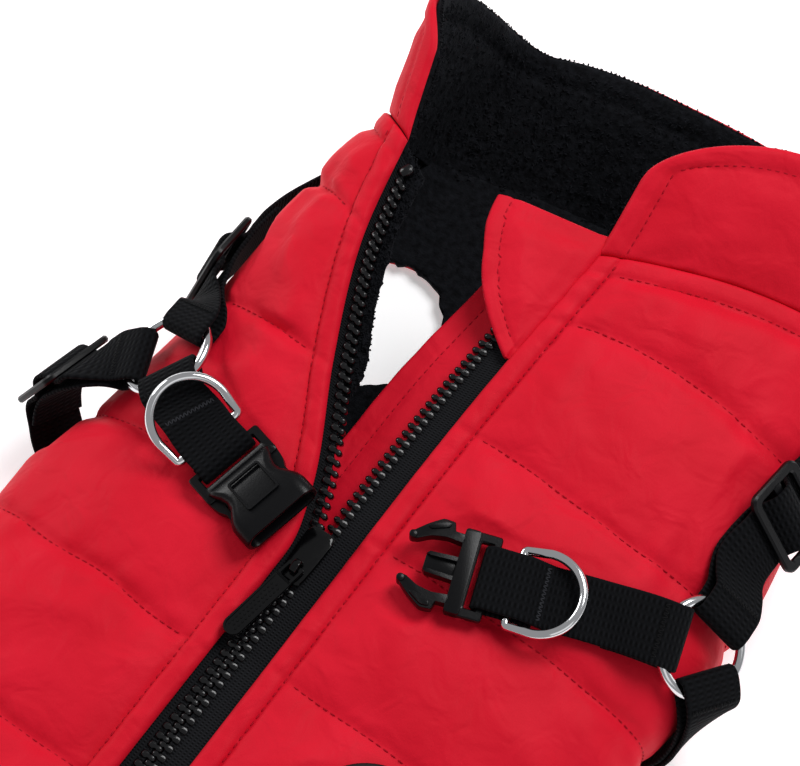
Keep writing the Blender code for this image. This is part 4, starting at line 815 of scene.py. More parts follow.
def with_holes(points, grow, ragged, seed):
    """Grid faces outside the leg holes, ellipses that noise makes ragged. Points inside a hole
    are pushed straight out onto its edge, and faces with all four corners inside are left out."""
    points = points.copy()
    rows, columns = points.shape[:2]
    index = np.arange(rows * columns).reshape(rows, columns)
    inside = np.zeros((rows, columns), bool)
    for centre in LEG_HOLES:
        half = np.array(LEG_HOLE_HALF) + grow
        off = (points[..., :2] - centre) / half
        turn = np.arctan2(off[..., 1], off[..., 0])
        reach = 1 + ragged * ripple(turn * HOLE_WAVES, 0, 1.0, seed)
        far = np.hypot(off[..., 0], off[..., 1])
        within = far < reach
        onto = off * (reach / np.maximum(far, 1e-6))[..., None] * half + centre
        points[..., :2] = np.where(within[..., None], onto, points[..., :2])
        inside |= within
    whole = ~(inside[:-1, :-1] & inside[:-1, 1:] & inside[1:, 1:] & inside[1:, :-1])
    quads = np.stack([index[:-1, :-1], index[:-1, 1:], index[1:, 1:], index[1:, :-1]], -1)[whole]
    used, quads = np.unique(quads, return_inverse=True)
    return points.reshape(-1, 3)[used], quads.reshape(-1, 4), used


def thicken(thing, thick, offset):
    """Gives a sheet its thickness with a closed rim."""
    tool = thing.modifiers.new("thickness", "SOLIDIFY")
    tool.thickness, tool.offset, tool.use_even_offset = thick * MM, offset, False


def belly():
    """The chest and belly panel with its leg holes, and the fleece inside it."""
    rows = np.linspace(NECK - GAP, HEM, BELLY_ROWS)
    shares = np.linspace(1, -1, BELLY_SHARES)
    points = belly_sheet(rows, shares, 0.0, -GAP / 2)
    flat, quads, used = with_holes(points, 0.0, 0.0, 1)
    uv = np.stack(np.meshgrid(shares * BELLY_UV_HALF, rows), -1).reshape(-1, 2)[used]
    panel = piece("belly_cloth", flat, quads, RED, uv=uv)
    face_down(panel)
    thicken(panel, BELLY_WALL, 1.0)
    inside, quads, _ = with_holes(belly_sheet(rows, shares, GAP, LINING_LAP), LINING_HOLE, LINING_RAGGED, 4)
    lining = piece("belly_lining", inside, quads, PILE)
    face_down(lining)
    thicken(lining, FLEECE, -1.0)
    for thing, node, slot in ((panel, "belly_panel", "red_shell"), (lining, "belly_fleece", "black_fleece")):
        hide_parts(node)


def face_down(thing):
    """Turns a sheet over if most of its faces look up, so that its outside is below."""
    normals = np.empty(len(thing.data.polygons) * 3, np.float32)
    thing.data.polygons.foreach_get("normal", normals)
    if normals.reshape(-1, 3)[:, 2].mean() > 0:
        thing.data.flip_normals()


def lay_sheet(node):
    """Hides the imported piece that the sheet drawn here stands in for."""
    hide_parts(node)


CURL_SIZES, CURL_HALF, CURL_HIGH = (0.6, 1.3), 0.3, 0.26  # least and greatest share, half sizes


def tufts(name, places, normals, count, seed, long, stand, spread=0.55):
    """Curls of pile: count small beads of a length strewn over a surface's points as far as spread
    from them, lying every way round and standing up by at most a share of their length."""
    rng = np.random.default_rng(seed)
    pick = rng.integers(0, len(places), count)
    spots = places[pick] + rng.normal(0, spread, (count, 3))
    w = unit(normals[pick])
    u = unit(np.cross(w, rng.normal(size=(count, 3)))) + w * rng.uniform(-0.2, stand, (count, 1))
    u = unit(u)
    v = unit(np.cross(w, u))
    sizes = rng.uniform(*CURL_SIZES, count)
    bead, faces = lozenge(4, 2, long / 2, CURL_HALF, CURL_HIGH)
    thing = scatter(name, bead, faces, spots, (u, v, np.cross(u, v)), PILE, sizes=sizes)


# Collar


COLLAR_STEP = 1.5
EASE_TURNS = 60  # how often the throat is evened out
COLLAR_LEVELS = np.concatenate([[0, 0.01, 0.03], np.linspace(0.06, 0.9, 24), [0.94, 0.97, 0.985, 0.995, 1.0]])
COLLAR_BULGE, COLLAR_ROLL = 1.0, 0.55  # of the wadding, and of the folded rim past its stitching
GATHER, GATHER_SIZE = 0.55, 5.5  # above the neck seam
COLLAR_SWELL, COLLAR_SWELL_SIZE, COLLAR_RIPPLE, COLLAR_RIPPLE_SIZE = 0.35, 14, 0.18, 5
COLLAR_GROOVE, COLLAR_GROOVE_WIDE = 0.5, 0.8
COLLAR_FOLD, SEAM_FOLD, LINING_FOLD = 1.7, 0.8, 1.5  # radii of their edges
NAP, NAP_SIZE, FINE_NAP, FINE_NAP_SIZE = 0.5, 2.6, 0.35, 1.7
RIM_TROUGH, RIM_TROUGH_WIDE = 1.9, 1.4
LINING_TUCK = 5.0  # of the fleece's lower edge, down inside the neck
CURLS, RIM_CURLS, RIM_OUT = 11000, 2200, 1.2
ON_COLLAR = 0.1  # a stitch's middle above the cloth, here and on the chin guard


def collar_base(step):
    """The neck seam from the right zip edge round the throat to the left one, in steps of about
    the length given: its points, the body's normals, the way that the collar stands, how high,
    and how far each point is from its free end. The two halves are eased together at the throat."""
    parts = []
    for side in (1, -1):
        total = girth(side, NECK)
        across = np.linspace(0, 1, int(total / step)) ** 1.25 * total
        if side < 0:
            across = across[:-1]
        f = np.clip(across / COLLAR_CORNER, 0, 1)
        reach = COLLAR_HEIGHT * (COLLAR_END_SHARE + (1 - COLLAR_END_SHARE) * np.sqrt(1 - (1 - f) ** 2))
        reach += THROAT_MORE * smooth(across / total / THROAT_FROM)
        share = (across / total)[:, None]
        nape, flank, throat = (np.array([way]) for way in COLLAR_WAYS[side])
        way = np.where(
            share < SHOULDER_AT,
            nape + (flank - nape) * smooth(share / SHOULDER_AT),
            flank + (throat - flank) * smooth((share - SHOULDER_AT) / (1 - SHOULDER_AT)),
        )
        at = np.full_like(across, NECK)
        rows = (read_map(side, "points", across, at), outward(side, across, at), unit(way), reach, across)
        parts.append(rows if side > 0 else tuple(row[::-1] for row in rows))
    joined = [np.concatenate(pair) for pair in zip(*parts)]
    joint = len(parts[0][0])
    for row in joined[:4]:
        near = row[joint - THROAT_EASE : joint + THROAT_EASE]
        for _ in range(EASE_TURNS):
            near[1:-1] = (near[:-2] + near[2:]) / 2
    return joined


def collar():
    """The stand-up collar: padded cloth with a rolled top edge and a stitched line inside it,
    gathered a little above the neck seam, and its fleece with a tufted rim."""
    base, normals, ways, heights, from_end = collar_base(COLLAR_STEP)
    levels = COLLAR_LEVELS
    climb = GAP + levels[:, None] * (heights - GAP)
    grid = base[None] + ways[None] * climb[..., None]
    facing = unit(np.cross(np.broadcast_to(ways[None], grid.shape), np.gradient(grid, axis=1)))
    facing *= np.sign((facing * normals[None]).sum(-1, keepdims=True))
    mix = smooth(levels / 0.4)[:, None, None]
    facing = unit(normals[None] * (1 - mix) + facing * mix)
    run = distances(base)[None]
    edge = np.minimum(heights[None] - climb, from_end[None])
    bulge = smooth(climb / 9) * smooth((edge - TOPSTITCH) / 10)
    swell = COLLAR_WALL + COLLAR_BULGE * bulge
    swell += COLLAR_ROLL * smooth((TOPSTITCH - edge) / 1.5) * smooth(edge / 1.6)
    swell += GATHER * ripple(run, climb / 5, GATHER_SIZE, 51) * np.exp(-climb / 9) * smooth(climb / 2)
    swell += COLLAR_SWELL * ripple(run, climb, COLLAR_SWELL_SIZE, 52) * bulge
    swell += COLLAR_RIPPLE * ripple(run, climb, COLLAR_RIPPLE_SIZE, 53) * smooth(edge / 3)
    swell -= COLLAR_GROOVE * np.exp(-(((edge - TOPSTITCH) / COLLAR_GROOVE_WIDE) ** 2))
    opened = np.minimum(round_edge(edge, COLLAR_FOLD), round_edge(climb - GAP, SEAM_FOLD))
    outer = grid + facing * (COLLAR_WALL / 2 + (swell - COLLAR_WALL / 2) * opened)[..., None]
    inner = grid + facing * (COLLAR_WALL / 2 * (1 - opened))[..., None]
    uv = np.stack([np.broadcast_to(run, climb.shape), climb], -1)
    cloth = shell("collar_cloth", inner, outer, RED, uv)
    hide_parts("collar")

    nap = NAP * ripple(run, climb, NAP_SIZE, 61) + FINE_NAP * ripple(run, climb, FINE_NAP_SIZE, 62)
    nap -= RIM_TROUGH * np.exp(-(((edge - RIM_SEAM) / RIM_TROUGH_WIDE) ** 2))
    soft = round_edge(edge - GAP, LINING_FOLD)
    back = GAP + COLLAR_LINING / 2
    lining_out = grid - facing * (back - (back - GAP) * soft)[..., None]
    lining_in = grid - facing * (back + (COLLAR_LINING / 2 + nap * 0.6) * soft)[..., None]
    tuck = LINING_TUCK * (1 - levels / 0.06).clip(0, 1)[:, None, None] * ways[None]
    lining_out, lining_in = lining_out - tuck, lining_in - tuck
    lining = shell("collar_lining", lining_in, lining_out, PILE, uv)
    lay_sheet("collar_fleece")
    tufts("collar_pile", lining_in[1:-5].reshape(-1, 3), -facing[1:-5].reshape(-1, 3), CURLS, 71, 1.2, 0.5)
    rim = (grid[-3:] - facing[-3:] * (GAP + RIM_OUT)).reshape(-1, 3)
    tufts("collar_rim_pile", rim, np.tile(ways, (3, 1)), RIM_CURLS, 72, 0.8, 0.3, 0.2)

    inset = heights - TOPSTITCH
    line = base + ways * inset[:, None]
    row = np.argmin(np.abs(climb - inset), axis=0)
    columns = np.arange(len(run[0]))
    top = outer[row, columns] + facing[row, columns] * ON_COLLAR
    top += ((line - grid[row, columns]) * ways).sum(-1, keepdims=True) * ways
    keep = from_end > TOPSTITCH + 1
    ends = []
    for at_end, order in ((0, 1), (-1, -1)):
        column = np.argmin(np.abs(from_end[::order][:80] - TOPSTITCH))
        column = column if order > 0 else len(from_end) - 1 - column
        rows = slice(2, int(row[column]) + 1)
        ends.append((outer[rows, column] + facing[rows, column] * ON_COLLAR, facing[rows, column]))
    thread = sew("collar_stitches", [(top[keep], facing[row, columns][keep]), *ends], DIP_SHADED_RED_THREAD)


# Flaps and facing at the zip


FLAP_WAVE, FLAP_WAVE_SIZE, FLAP_RIPPLE, FLAP_RIPPLE_SIZE = 0.7, 24, 0.3, 9
FLAP_GROOVE, FLAP_GROOVE_WIDE, FLAP_FOLD, ON_FLAP = 0.22, 0.7, 0.9, 0.06
CHIN_STITCH = 4.6  # from the chin guard's free edge
CHIN_BULGE, CHIN_SWELL, CHIN_SWELL_SIZE, CHIN_GROOVE, CHIN_GROOVE_WIDE = 1.1, 0.25, 8, 0.45, 0.7
CHIN_FOLD, CHIN_SEAM_FOLD, CHIN_TUCK = 1.3, 1.0, 0.9
RAGGED, RAGGED_SIZE, FINE_RAGGED, FINE_RAGGED_SIZE = 0.8, 11, 0.25, 2.6  # of the facing's edge
FACING_NAP, FACING_NAP_SIZE, FACING_FOLD, FACING_CURLS = 0.4, 2.4, 1.2, 3000


def flap_wall(name, upper, lower, look, uv, rolled):
    """A thin closed wall whose free edges are rolled: rolled is 0 at an edge and 1 inside it."""
    middle = (upper + lower) / 2
    opened = rolled[..., None]
    return shell(name, middle + (lower - middle) * opened, middle + (upper - middle) * opened, look, uv)


def wind_flap():
    """The flap behind the right zip, with a soft free edge that waves a little and a stitched
    line along it."""
    rows = np.linspace(WIND_FLAP_TOP, ZIP_BOTTOM, 240)
    out = np.concatenate([np.linspace(TAPE_TUCK - 0.5, -20, 30), np.linspace(-20.5, 1.0 - WIND_FLAP_REACH, 9),
                          [0.4 - WIND_FLAP_REACH, 0.1 - WIND_FLAP_REACH, -WIND_FLAP_REACH]])
    across, along = np.broadcast_arrays(out[None], rows[:, None])
    wave = FLAP_WAVE * ripple(along, across, FLAP_WAVE_SIZE, 81)
    wave += FLAP_RIPPLE * ripple(along, across, FLAP_RIPPLE_SIZE, 82)
    wave *= smooth((-across - 8) / 14) * smooth((along + 4) / 20)
    top = -2 * GAP - TAPE - WIND_FLAP_DROP * smooth((1 - across) / TEETH_CLEAR)
    top = top - WIND_FLAP_SAG * smooth((-across - TEETH_CLEAR) / (WIND_FLAP_REACH - TEETH_CLEAR)) + wave
    edge = np.minimum(across + WIND_FLAP_REACH, WIND_FLAP_TOP - along)
    groove = FLAP_GROOVE * np.exp(-(((edge - TOPSTITCH) / FLAP_GROOVE_WIDE) ** 2))
    upper = place(1, across, along, top - groove)
    lower = place(1, across, along, top - WIND_FLAP)
    uv = np.stack([across, along], -1)
    flap = flap_wall("wind_flap_cloth", upper, lower, RED, uv, round_edge(edge, FLAP_FOLD))
    lay_sheet("wind_flap")
    column = int(np.argmin(np.abs(out + WIND_FLAP_REACH - TOPSTITCH)))
    sewn = slice(4, 150)
    normals = outward(1, 0.0, along[sewn, column])
    thread = sew("wind_flap_stitches", [(upper[sewn, column] + normals * ON_FLAP, normals)], DIP_SHADED_RED_THREAD)


def chin_guard():
    """The padded flap over the zip's top end: a curved free edge, a stitched line inside it and
    a soft dome between."""
    rows = np.linspace(CHIN_TO, CHIN_FROM, 70)
    f = (rows - CHIN_FROM) / (CHIN_TO - CHIN_FROM)
    reach = CHIN_LEAST + CHIN_REACH * (1 - (1 - f) ** CHIN_CURVE)
    shares = np.concatenate([[0, 0.01, 0.03], np.linspace(0.06, 0.92, 30), [0.95, 0.975, 0.99, 1.0]])
    start = GAP + CHIN_LEAST * smooth((rows - WIND_FLAP_TOP) / 10)
    tucked = (start + CHIN_TUCK)[:, None] * (1 - shares / 0.06).clip(0, 1)
    across = tucked - start[:, None] - reach[:, None] * shares
    along = rows[:, None] + CHIN_SLANT * (reach * f)[:, None] * shares
    low = CHIN_LOW - CHIN_CLIMB * across
    free = reach[:, None] * (1 - shares) * 0.86
    edge = np.minimum(free, (CHIN_TO - rows)[:, None])
    bulge = smooth((edge - 4) / 7) * smooth(reach[:, None] * shares / 6)
    high = CHIN_GUARD + CHIN_BULGE * bulge + CHIN_SWELL * ripple(across, along, CHIN_SWELL_SIZE, 91)
    high -= CHIN_GROOVE * np.exp(-(((free - CHIN_STITCH) / CHIN_GROOVE_WIDE) ** 2))
    opened = np.minimum(round_edge(edge, CHIN_FOLD), round_edge(reach[:, None] * shares, CHIN_SEAM_FOLD))
    middle = CHIN_GUARD / 2
    upper = place(1, across, along, low + middle + (high - middle) * opened)
    lower = place(1, across, along, low + middle * (1 - opened))
    guard = shell("chin_guard_cloth", lower, upper, RED, np.stack([across, along], -1))
    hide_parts("chin_guard")
    column = np.argmin(np.abs(free - CHIN_STITCH), axis=1)
    keep = (reach > 7) & (rows < CHIN_TO - 0.8)
    index = np.arange(len(rows))[keep]
    normals = outward(1, 0.0, rows[keep])
    line = upper[index, column[keep]] + normals * ON_COLLAR
    thread = sew("chin_guard_stitches", [(line, normals)], DIP_SHADED_RED_THREAD)


def left_facing():
    """The fleece strip that shows past the open left zip, its free edge ragged with pile."""
    rows = np.linspace(NECK - GAP, FACING_BOTTOM, 110)
    open_share = smooth((rows - FACING_BOTTOM) / FACING_FADE)
    past = FACING_LEAST + (FACING_PAST - FACING_LEAST) * open_share
    ragged = RAGGED * ripple(rows, 0, RAGGED_SIZE, 101) + FINE_RAGGED * ripple(rows, 0, FINE_RAGGED_SIZE, 102)
    past = past + open_share * ragged
    inside = FACING_IN + FACING_IN_MORE * smooth((rows - FACING_IN_FROM) / (NECK - FACING_IN_FROM))
    shares = np.linspace(0, 1, 34)
    across = inside[:, None] - shares * (inside + past)[:, None]
    along = np.broadcast_to(rows[:, None], across.shape)
    nap = FACING_NAP * ripple(across, along, FACING_NAP_SIZE, 103)
    top = -2 * GAP - TAPE + (nap - FACING_DROP) * smooth((2 - across) / 4)
    edge = np.minimum(across + past[:, None], NECK - GAP - along)
    upper = place(-1, across, along, top)
    lower = place(-1, across, along, top - FLEECE)
    uv = np.stack([across, along], -1)
    strip = flap_wall("left_facing_pile", upper, lower, PILE, uv, round_edge(edge + 0.2, FACING_FOLD))
    lay_sheet("left_facing")
    shows = (across < 1.5) & (along > FACING_BOTTOM + 12)
    tufts("left_facing_curls", upper[shows], outward(-1, 0.0, along[shows]), FACING_CURLS, 104, 1.0, 0.4, 0.3)


# Zip


TAPE_LEVEL = -GAP - TAPE / 2  # of the tape's middle
TAPE_BEAD, TAPE_BEAD_WIDE = 0.35, 0.9
# One tooth's outline: along the zip, and out from the middle of the row.
TOOTH = ((-0.9, -2.0), (0.9, -2.0), (1.15, -0.5), (0.62, 0.6), (0.9, 1.3), (0.75, 2.1), (0.35, 2.5),
         (-0.35, 2.5), (-0.75, 2.1), (-0.9, 1.3), (-0.62, 0.6), (-1.15, -0.5))
TOOTH_FACE = 0.72  # the scale of its top and bottom
SLIDER_CLEAR = (6, -11)  # no teeth show between these places, inside the slider
STOP = ((-2, -1.6), (2, -1.6), (2.2, 0), (1.6, 1.6), (-1.6, 1.6), (-2.2, 0))
STOP_HALF, STOP_FROM_TOP = 1.4, 1.6


def zip_tape(side, name):
    """Half of the zip's woven tape, sewn behind the fabric edge, with a bead along its edge."""
    reach = TEETH_REACH[side]
    rows = np.linspace(ZIP_TOP[side], ZIP_BOTTOM, 200)
    flat = (3, 1, 0, -1, -2, -3) if side > 0 else (3, 1, 0, -1)
    out = np.array([TAPE_TUCK, TAPE_TUCK - 0.2, *flat, 2.2 - reach, 1.4 - reach, 0.7 - reach, -reach])
    across, along = np.broadcast_arrays(out[None], rows[:, None])
    rise = TAPE / 2 + TAPE_BEAD * np.exp(-(((across + reach) / TAPE_BEAD_WIDE) ** 2))
    upper = place(side, across, along, TAPE_LEVEL + rise)
    lower = place(side, across, along, TAPE_LEVEL - rise)
    tape = shell(name, lower, upper, ZIP_TAPE, np.stack([along, across], -1))
    half = "right" if side > 0 else "left"
    lay_sheet("zip_" + half)


def slab(outline, levels):
    """Points and faces of an outline drawn up through levels, each a height and a scale."""
    outline = np.asarray(outline, float)
    middle = (outline.max(axis=0) + outline.min(axis=0)) / 2
    loops = [(middle + (outline - middle) * scale, height) for height, scale in levels]
    points = np.concatenate([np.column_stack([loop, np.full(len(loop), height)]) for loop, height in loops])
    return points, capped(points, len(outline))


def teeth(side, name):
    """One side's moulded teeth, evenly spaced, half a pitch apart from the other side's so that
    they interlock where the zip is closed: a foot round the tape's bead, a neck and a head."""
    half, edge = TEETH_HIGH / 2, TEETH_HIGH / 2 - 0.35
    tooth, faces = slab(TOOTH, ((-half, TOOTH_FACE), (-edge, 1), (edge, 1), (half, TOOTH_FACE)))
    offset = 0.0 if side > 0 else TOOTH_PITCH / 2
    above, below = SLIDER_CLEAR
    open_rows = np.arange(offset, ZIP_TOP[side] - 3, TOOTH_PITCH)
    shut_rows = np.arange(offset, ZIP_BOTTOM + 4, -TOOTH_PITCH)[1:]
    rows = np.concatenate([open_rows[open_rows > above], shut_rows[shut_rows < below]])
    thing = scatter(name, tooth, faces, *on_tape(side, rows), TEETH)


def on_tape(side, rows):
    """The places at rows along where the teeth grip one side's tape, and the axes there: along
    the zip, out past the fabric's edge and outwards."""
    origins = place(side, -TEETH_REACH[side], rows, TAPE_LEVEL)
    w = outward(side, 0.0, rows)
    out = unit(place(side, -TEETH_REACH[side] - 1, rows, TAPE_LEVEL) - origins)
    return origins, (unit(np.cross(out, w)), out, w)


def top_stops():
    """The moulded stop at the top of each row of teeth."""
    edge = STOP_HALF - 0.4
    stop, faces = slab(STOP, ((-STOP_HALF, 0.8), (-edge, 1), (edge, 1), (STOP_HALF, 0.8)))
    for side, name in ((1, "stop_right"), (-1, "stop_left")):
        row = np.array([ZIP_TOP[side] - STOP_FROM_TOP])
        thing = scatter(name, stop, faces, *on_tape(side, row), TEETH)


# Sites of the hardware


def site(side, across, along, lift, turn):
    """Where a rigid piece sits: its origin and its axes, u along its heading, v beside it and w
    outwards. The left half is the mirror image of the right."""
    origin = place(side, across, along, lift)
    w = outward(side, across, along)
    round_it = read_map(side, "points", np.float64(across + 1), np.float64(along))
    round_it = round_it - read_map(side, "points", np.float64(across - 1), np.float64(along))
    u = unit(round_it - w * (round_it @ w))
    v = np.cross(w, u) * side
    c, t = math.cos(math.radians(turn)), math.sin(math.radians(turn))
    return origin, u * c + v * t, v * c - u * t, w


def at_site(where, points):
    """Local (u, v, w) rows as points."""
    origin, u, v, w = where
    points = np.asarray(points, float)
    return origin + points[..., :1] * u + points[..., 1:2] * v + points[..., 2:] * w


def ring_site(side, turn=0.0):
    across, along, extra = RING_AT[side]
    return site(side, across, along, RING_LEVEL + extra, turn)


def through(rows, count, flat=2):
    """A smooth line through rows of numbers, evenly spaced by the first flat columns."""
    rows = np.asarray(rows, float)
    run = distances(rows[:, :flat])
    slopes = np.gradient(rows, run, axis=0)
    at = np.linspace(0, run[-1], count)
    i = np.clip(np.searchsorted(run, at) - 1, 0, len(run) - 2)
    wide = (run[i + 1] - run[i])[:, None]
    f = (at - run[i])[:, None] / wide
    return at, eased(rows[i], rows[i + 1], slopes[i] * wide, slopes[i + 1] * wide, f)


def turned(where, middle, angle, way):
    """A point on the turn round a wire or bar, way being -1 at a strap's start and 1 at its end."""
    a = math.radians(angle)
    return at_site(where, (middle + way * HAIRPIN * math.cos(a), 0.0, HAIRPIN * math.sin(a))), where[2]


def glide_site(at, weave, top):
    """The site of a tri-glide's plate, flat over the strap's outer layer."""
    middle, v = at(weave, HAIRPIN, top)
    u = unit(at(weave + STRAP_STEP, HAIRPIN, top)[0] - at(weave - STRAP_STEP, HAIRPIN, top)[0])
    w = unit(np.cross(u, v))
    w *= np.sign(w @ (at(weave, HAIRPIN, top + 1)[0] - middle))
    return middle + w * GLIDE_RISE, u, v, w


def bar_site(at, end):
    """The site of a buckle's bar, at the far end of a centre strap."""
    low, v = at(end, 0.0, WEB_LEVEL)
    w = unit(at(end, 0.0, WEB_LEVEL + 1)[0] - low)
    u = unit(low - at(end - 2 * STRAP_STEP, 0.0, WEB_LEVEL)[0])
    u = unit(u - w * (u @ w))
    return low + w * HAIRPIN, u, unit(v - w * (v @ w)), w


WEB_SHARES = np.array([0, 0.2, 0.4, 0.6, 0.8, 0.88, 0.94, 0.985, 1])  # from the middle to an edge
WEB_EDGE = 0.94  # where the edge's rounding starts
WEB_GROOVE, WEB_GROOVE_AT, WEB_GROOVE_WIDE = 0.14, 0.86, 0.035


def strap_line(side, plan, under, weave, far):
    """A strap's centres and its sideways directions. It starts on its lower layer, turns round
    the ring's wire and goes out along its rows on top. weave is the distance where it passes a
    tri-glide, and far is how far back from its other end it lies over a D's bar."""
    where = ring_site(side, plan["turn"])
    first = np.array(RING_AT[side])
    heading = math.radians(plan["turn"])
    step = RING_RADIUS * np.array([math.cos(heading), math.sin(heading), 0.0])
    run, way = through([tuple(first), tuple(first + step), *plan["rows"]], 60)
    top = WEB_LEVEL + LAYER

    def at(distance, plane, lift):
        spot = read_line(distance, run, way)
        on = place(side, spot[0], spot[1], lift + spot[2])
        flat = at_site(where, (distance, 0.0, plane))
        ahead = read_line(min(distance + 1, run[-1]), run, way)
        behind = read_line(max(distance - 1, 0), run, way)
        along = place(side, *ahead[:2], lift + ahead[2]) - place(side, *behind[:2], lift + behind[2])
        across = unit(np.cross(outward(side, spot[0], spot[1]), along)) * side
        mix = float(smooth((distance - FLAT_TO) / BLEND))
        return flat + (on - flat) * mix, unit(where[2] + (across - where[2]) * mix)

    end = run[-1] if far is None else run[-1] - GAP / 30
    stub = under if far is None else min(under, (end - HAIRPIN_AT + 1.5) / 2)
    out = [at(d, -HAIRPIN, WEB_LEVEL) for d in np.arange(stub, HAIRPIN_AT + 1, -STRAP_STEP)]
    out.append(at(HAIRPIN_AT, -HAIRPIN, WEB_LEVEL))
    out += [turned(where, HAIRPIN_AT, angle, -1) for angle in HAIRPIN_TURN]
    stops = [HAIRPIN_AT, *np.arange(HAIRPIN_AT + STRAP_STEP, end - STRAP_STEP / 2, STRAP_STEP), end]
    glide = None
    if weave:
        glide = glide_site(at, weave, top)
        reach = WEAVE_STEPS[-1]
        clear = [d for d in stops if abs(d - weave) > reach + STRAP_STEP / 2]
        stops = sorted(clear + [weave + d for d in WEAVE_STEPS])
    for distance in stops:
        if weave and abs(distance - weave) <= reach:
            up = GLIDE_RISE if abs(distance - weave) < GLIDE_BAR else -GLIDE_RISE
            out.append((at_site(glide, (distance - weave, 0.0, up)), glide[2]))
            continue
        raised_by = 0.0
        if far is not None:
            raised_by = (2 * HAIRPIN - LAYER) * smooth((distance - end + far + HAIRPIN_AT) / DEE_CLIMB)
        out.append(at(distance, HAIRPIN, top + raised_by))
    if far is None:
        return out, glide
    bar = bar_site(at, end)
    out += [turned(bar, 0.0, -angle, 1) for angle in HAIRPIN_TURN]
    out += [at(d, -HAIRPIN, WEB_LEVEL) for d in np.arange(end, end - stub + HAIRPIN_AT, -STRAP_STEP)]
    return out, bar


def strap(side, name, plan, under, weave, far=None):
    """A strap of webbing as a closed band: its line eased by a cubic to steps of about 1 mm, full
    thickness across and thinner at the two woven edges, with a shallow groove inside them. It
    gives the site at its other end, and its line's distances, centres and directions."""
    line, end_site = strap_line(side, plan, under, weave, far)
    centres, sideways = (np.array(part) for part in zip(*line))
    run = np.linalg.norm(np.diff(centres, axis=0), axis=1).sum()
    at, rows = through(np.concatenate([centres, sideways], axis=1), int(run / 1.1), 3)
    centres, sideways = rows[:, :3], unit(rows[:, 3:])
    up = unit(np.cross(np.gradient(centres, axis=0), sideways))
    far_out = np.concatenate([WEB_SHARES[:0:-1], WEB_SHARES])
    rounded = np.clip(1 - np.clip((far_out - WEB_EDGE) / (1.001 - WEB_EDGE), 0, 1) ** 2, 0.02, 1)
    groove = 1 - WEB_GROOVE * np.exp(-(((far_out - WEB_GROOVE_AT) / WEB_GROOVE_WIDE) ** 2))
    thick = WEB_THICK / 2 * np.sqrt(rounded) * groove
    out = np.concatenate([-WEB_SHARES[:0:-1], WEB_SHARES]) * STRAP_WIDE / 2
    grid = centres[:, None] + sideways[:, None] * out[None, :, None]
    rise = up[:, None] * thick[None, :, None]
    upper, lower = grid + rise, grid - rise
    uv = np.stack(np.broadcast_arrays(at[:, None], out[None]), -1)
    band = shell(name + "_web", lower, upper, WEBBING, uv)
    lay_sheet(name)
    return end_site, at, centres, sideways, up


ON_WEB = 0.06  # a stitch's middle above the webbing


def tack(name, strip, spot, facing, look):
    """A bar tack through both layers of a strap: one tight zigzag of stitches across it, spot
    being its distance along the strap's line and facing the way that the sewn face looks."""
    middle, across, normal = (read_line(spot, strip[1], part) for part in strip[2:])
    across, normal = unit(across), unit(normal)
    normal = normal * np.sign(normal @ facing)
    reach = np.arange(-STRAP_WIDE / 2 + TACK_INSET, STRAP_WIDE / 2 - TACK_INSET, TACK_PITCH)
    swing = np.where(np.arange(len(reach)) % 2, TACK_SLANT, -TACK_SLANT)[:, None]
    u = unit(np.cross(normal, across) + across * swing)
    w = np.broadcast_to(normal, u.shape)
    spots = middle + across * reach[:, None] + normal * (WEB_THICK / 2 + ON_WEB)
    thread = scatter(name, STITCH[0], STITCH[1], spots, (u, np.cross(w, u), w), look)


def tack_at_ring(side, name, plan, strip):
    """A bar tack in black thread a little beyond the ring that the strap turns round."""
    origin, u, _, w = ring_site(side, plan["turn"])
    inner = len(strip[1]) // 2
    turn = int(np.argmin((strip[2][:inner] - origin) @ u))
    tack(name + "_tack", strip, strip[1][turn] + TACK_FROM_RING, w, BLACK_THREAD)


def tack_at_bar(name, strip):
    """A bar tack across a centre strap inside its D. Its grey is partly the thread's and partly a
    painted highlight of the sheen on the webbing's fold there.
    """
    origin, u, _, w = strip[0]
    turn = int(np.argmax((strip[2] - origin) @ u))
    tack(name + "_dee_tack", strip, strip[1][turn] - TACK_FROM_BAR, w, GREY_THREAD_PAINTED_SHEEN)


# Rings, glides and buckle


WIRE_SIDES, RING_SIDES, KNOB_SIDES = 20, 96, 20


def around_points(count):
    """A circle of radius 1 as count points."""
    turn = np.arange(count) * 2 * math.pi / count
    return np.stack([np.cos(turn), np.sin(turn)], -1)


def wire_loop(name, where, line, radius, look, body):
    """A round wire along a closed line of (u, v) points in a site's plane."""
    ahead = unit(np.roll(line, -1, axis=0) - np.roll(line, 1, axis=0))
    off = np.stack([ahead[:, 1], -ahead[:, 0]], -1)
    profile = around_points(WIRE_SIDES) * radius
    centres = at_site(where, np.column_stack([line, np.zeros(len(line))]))
    across = off[:, :1] * where[1] + off[:, 1:] * where[2]
    up = np.broadcast_to(where[3], centres.shape)
    points, faces = sweep(profile, centres, across, up, closed=True)
    return piece(name, points, faces, look, body)


def ring(side, name):
    """An O-ring of bent and welded wire, its weld ground smooth."""
    line = around_points(RING_SIDES) * RING_RADIUS
    thing = wire_loop(name + "_wire", ring_site(side), line, RING_WIRE, CHROME, "jacket")
    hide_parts(name)


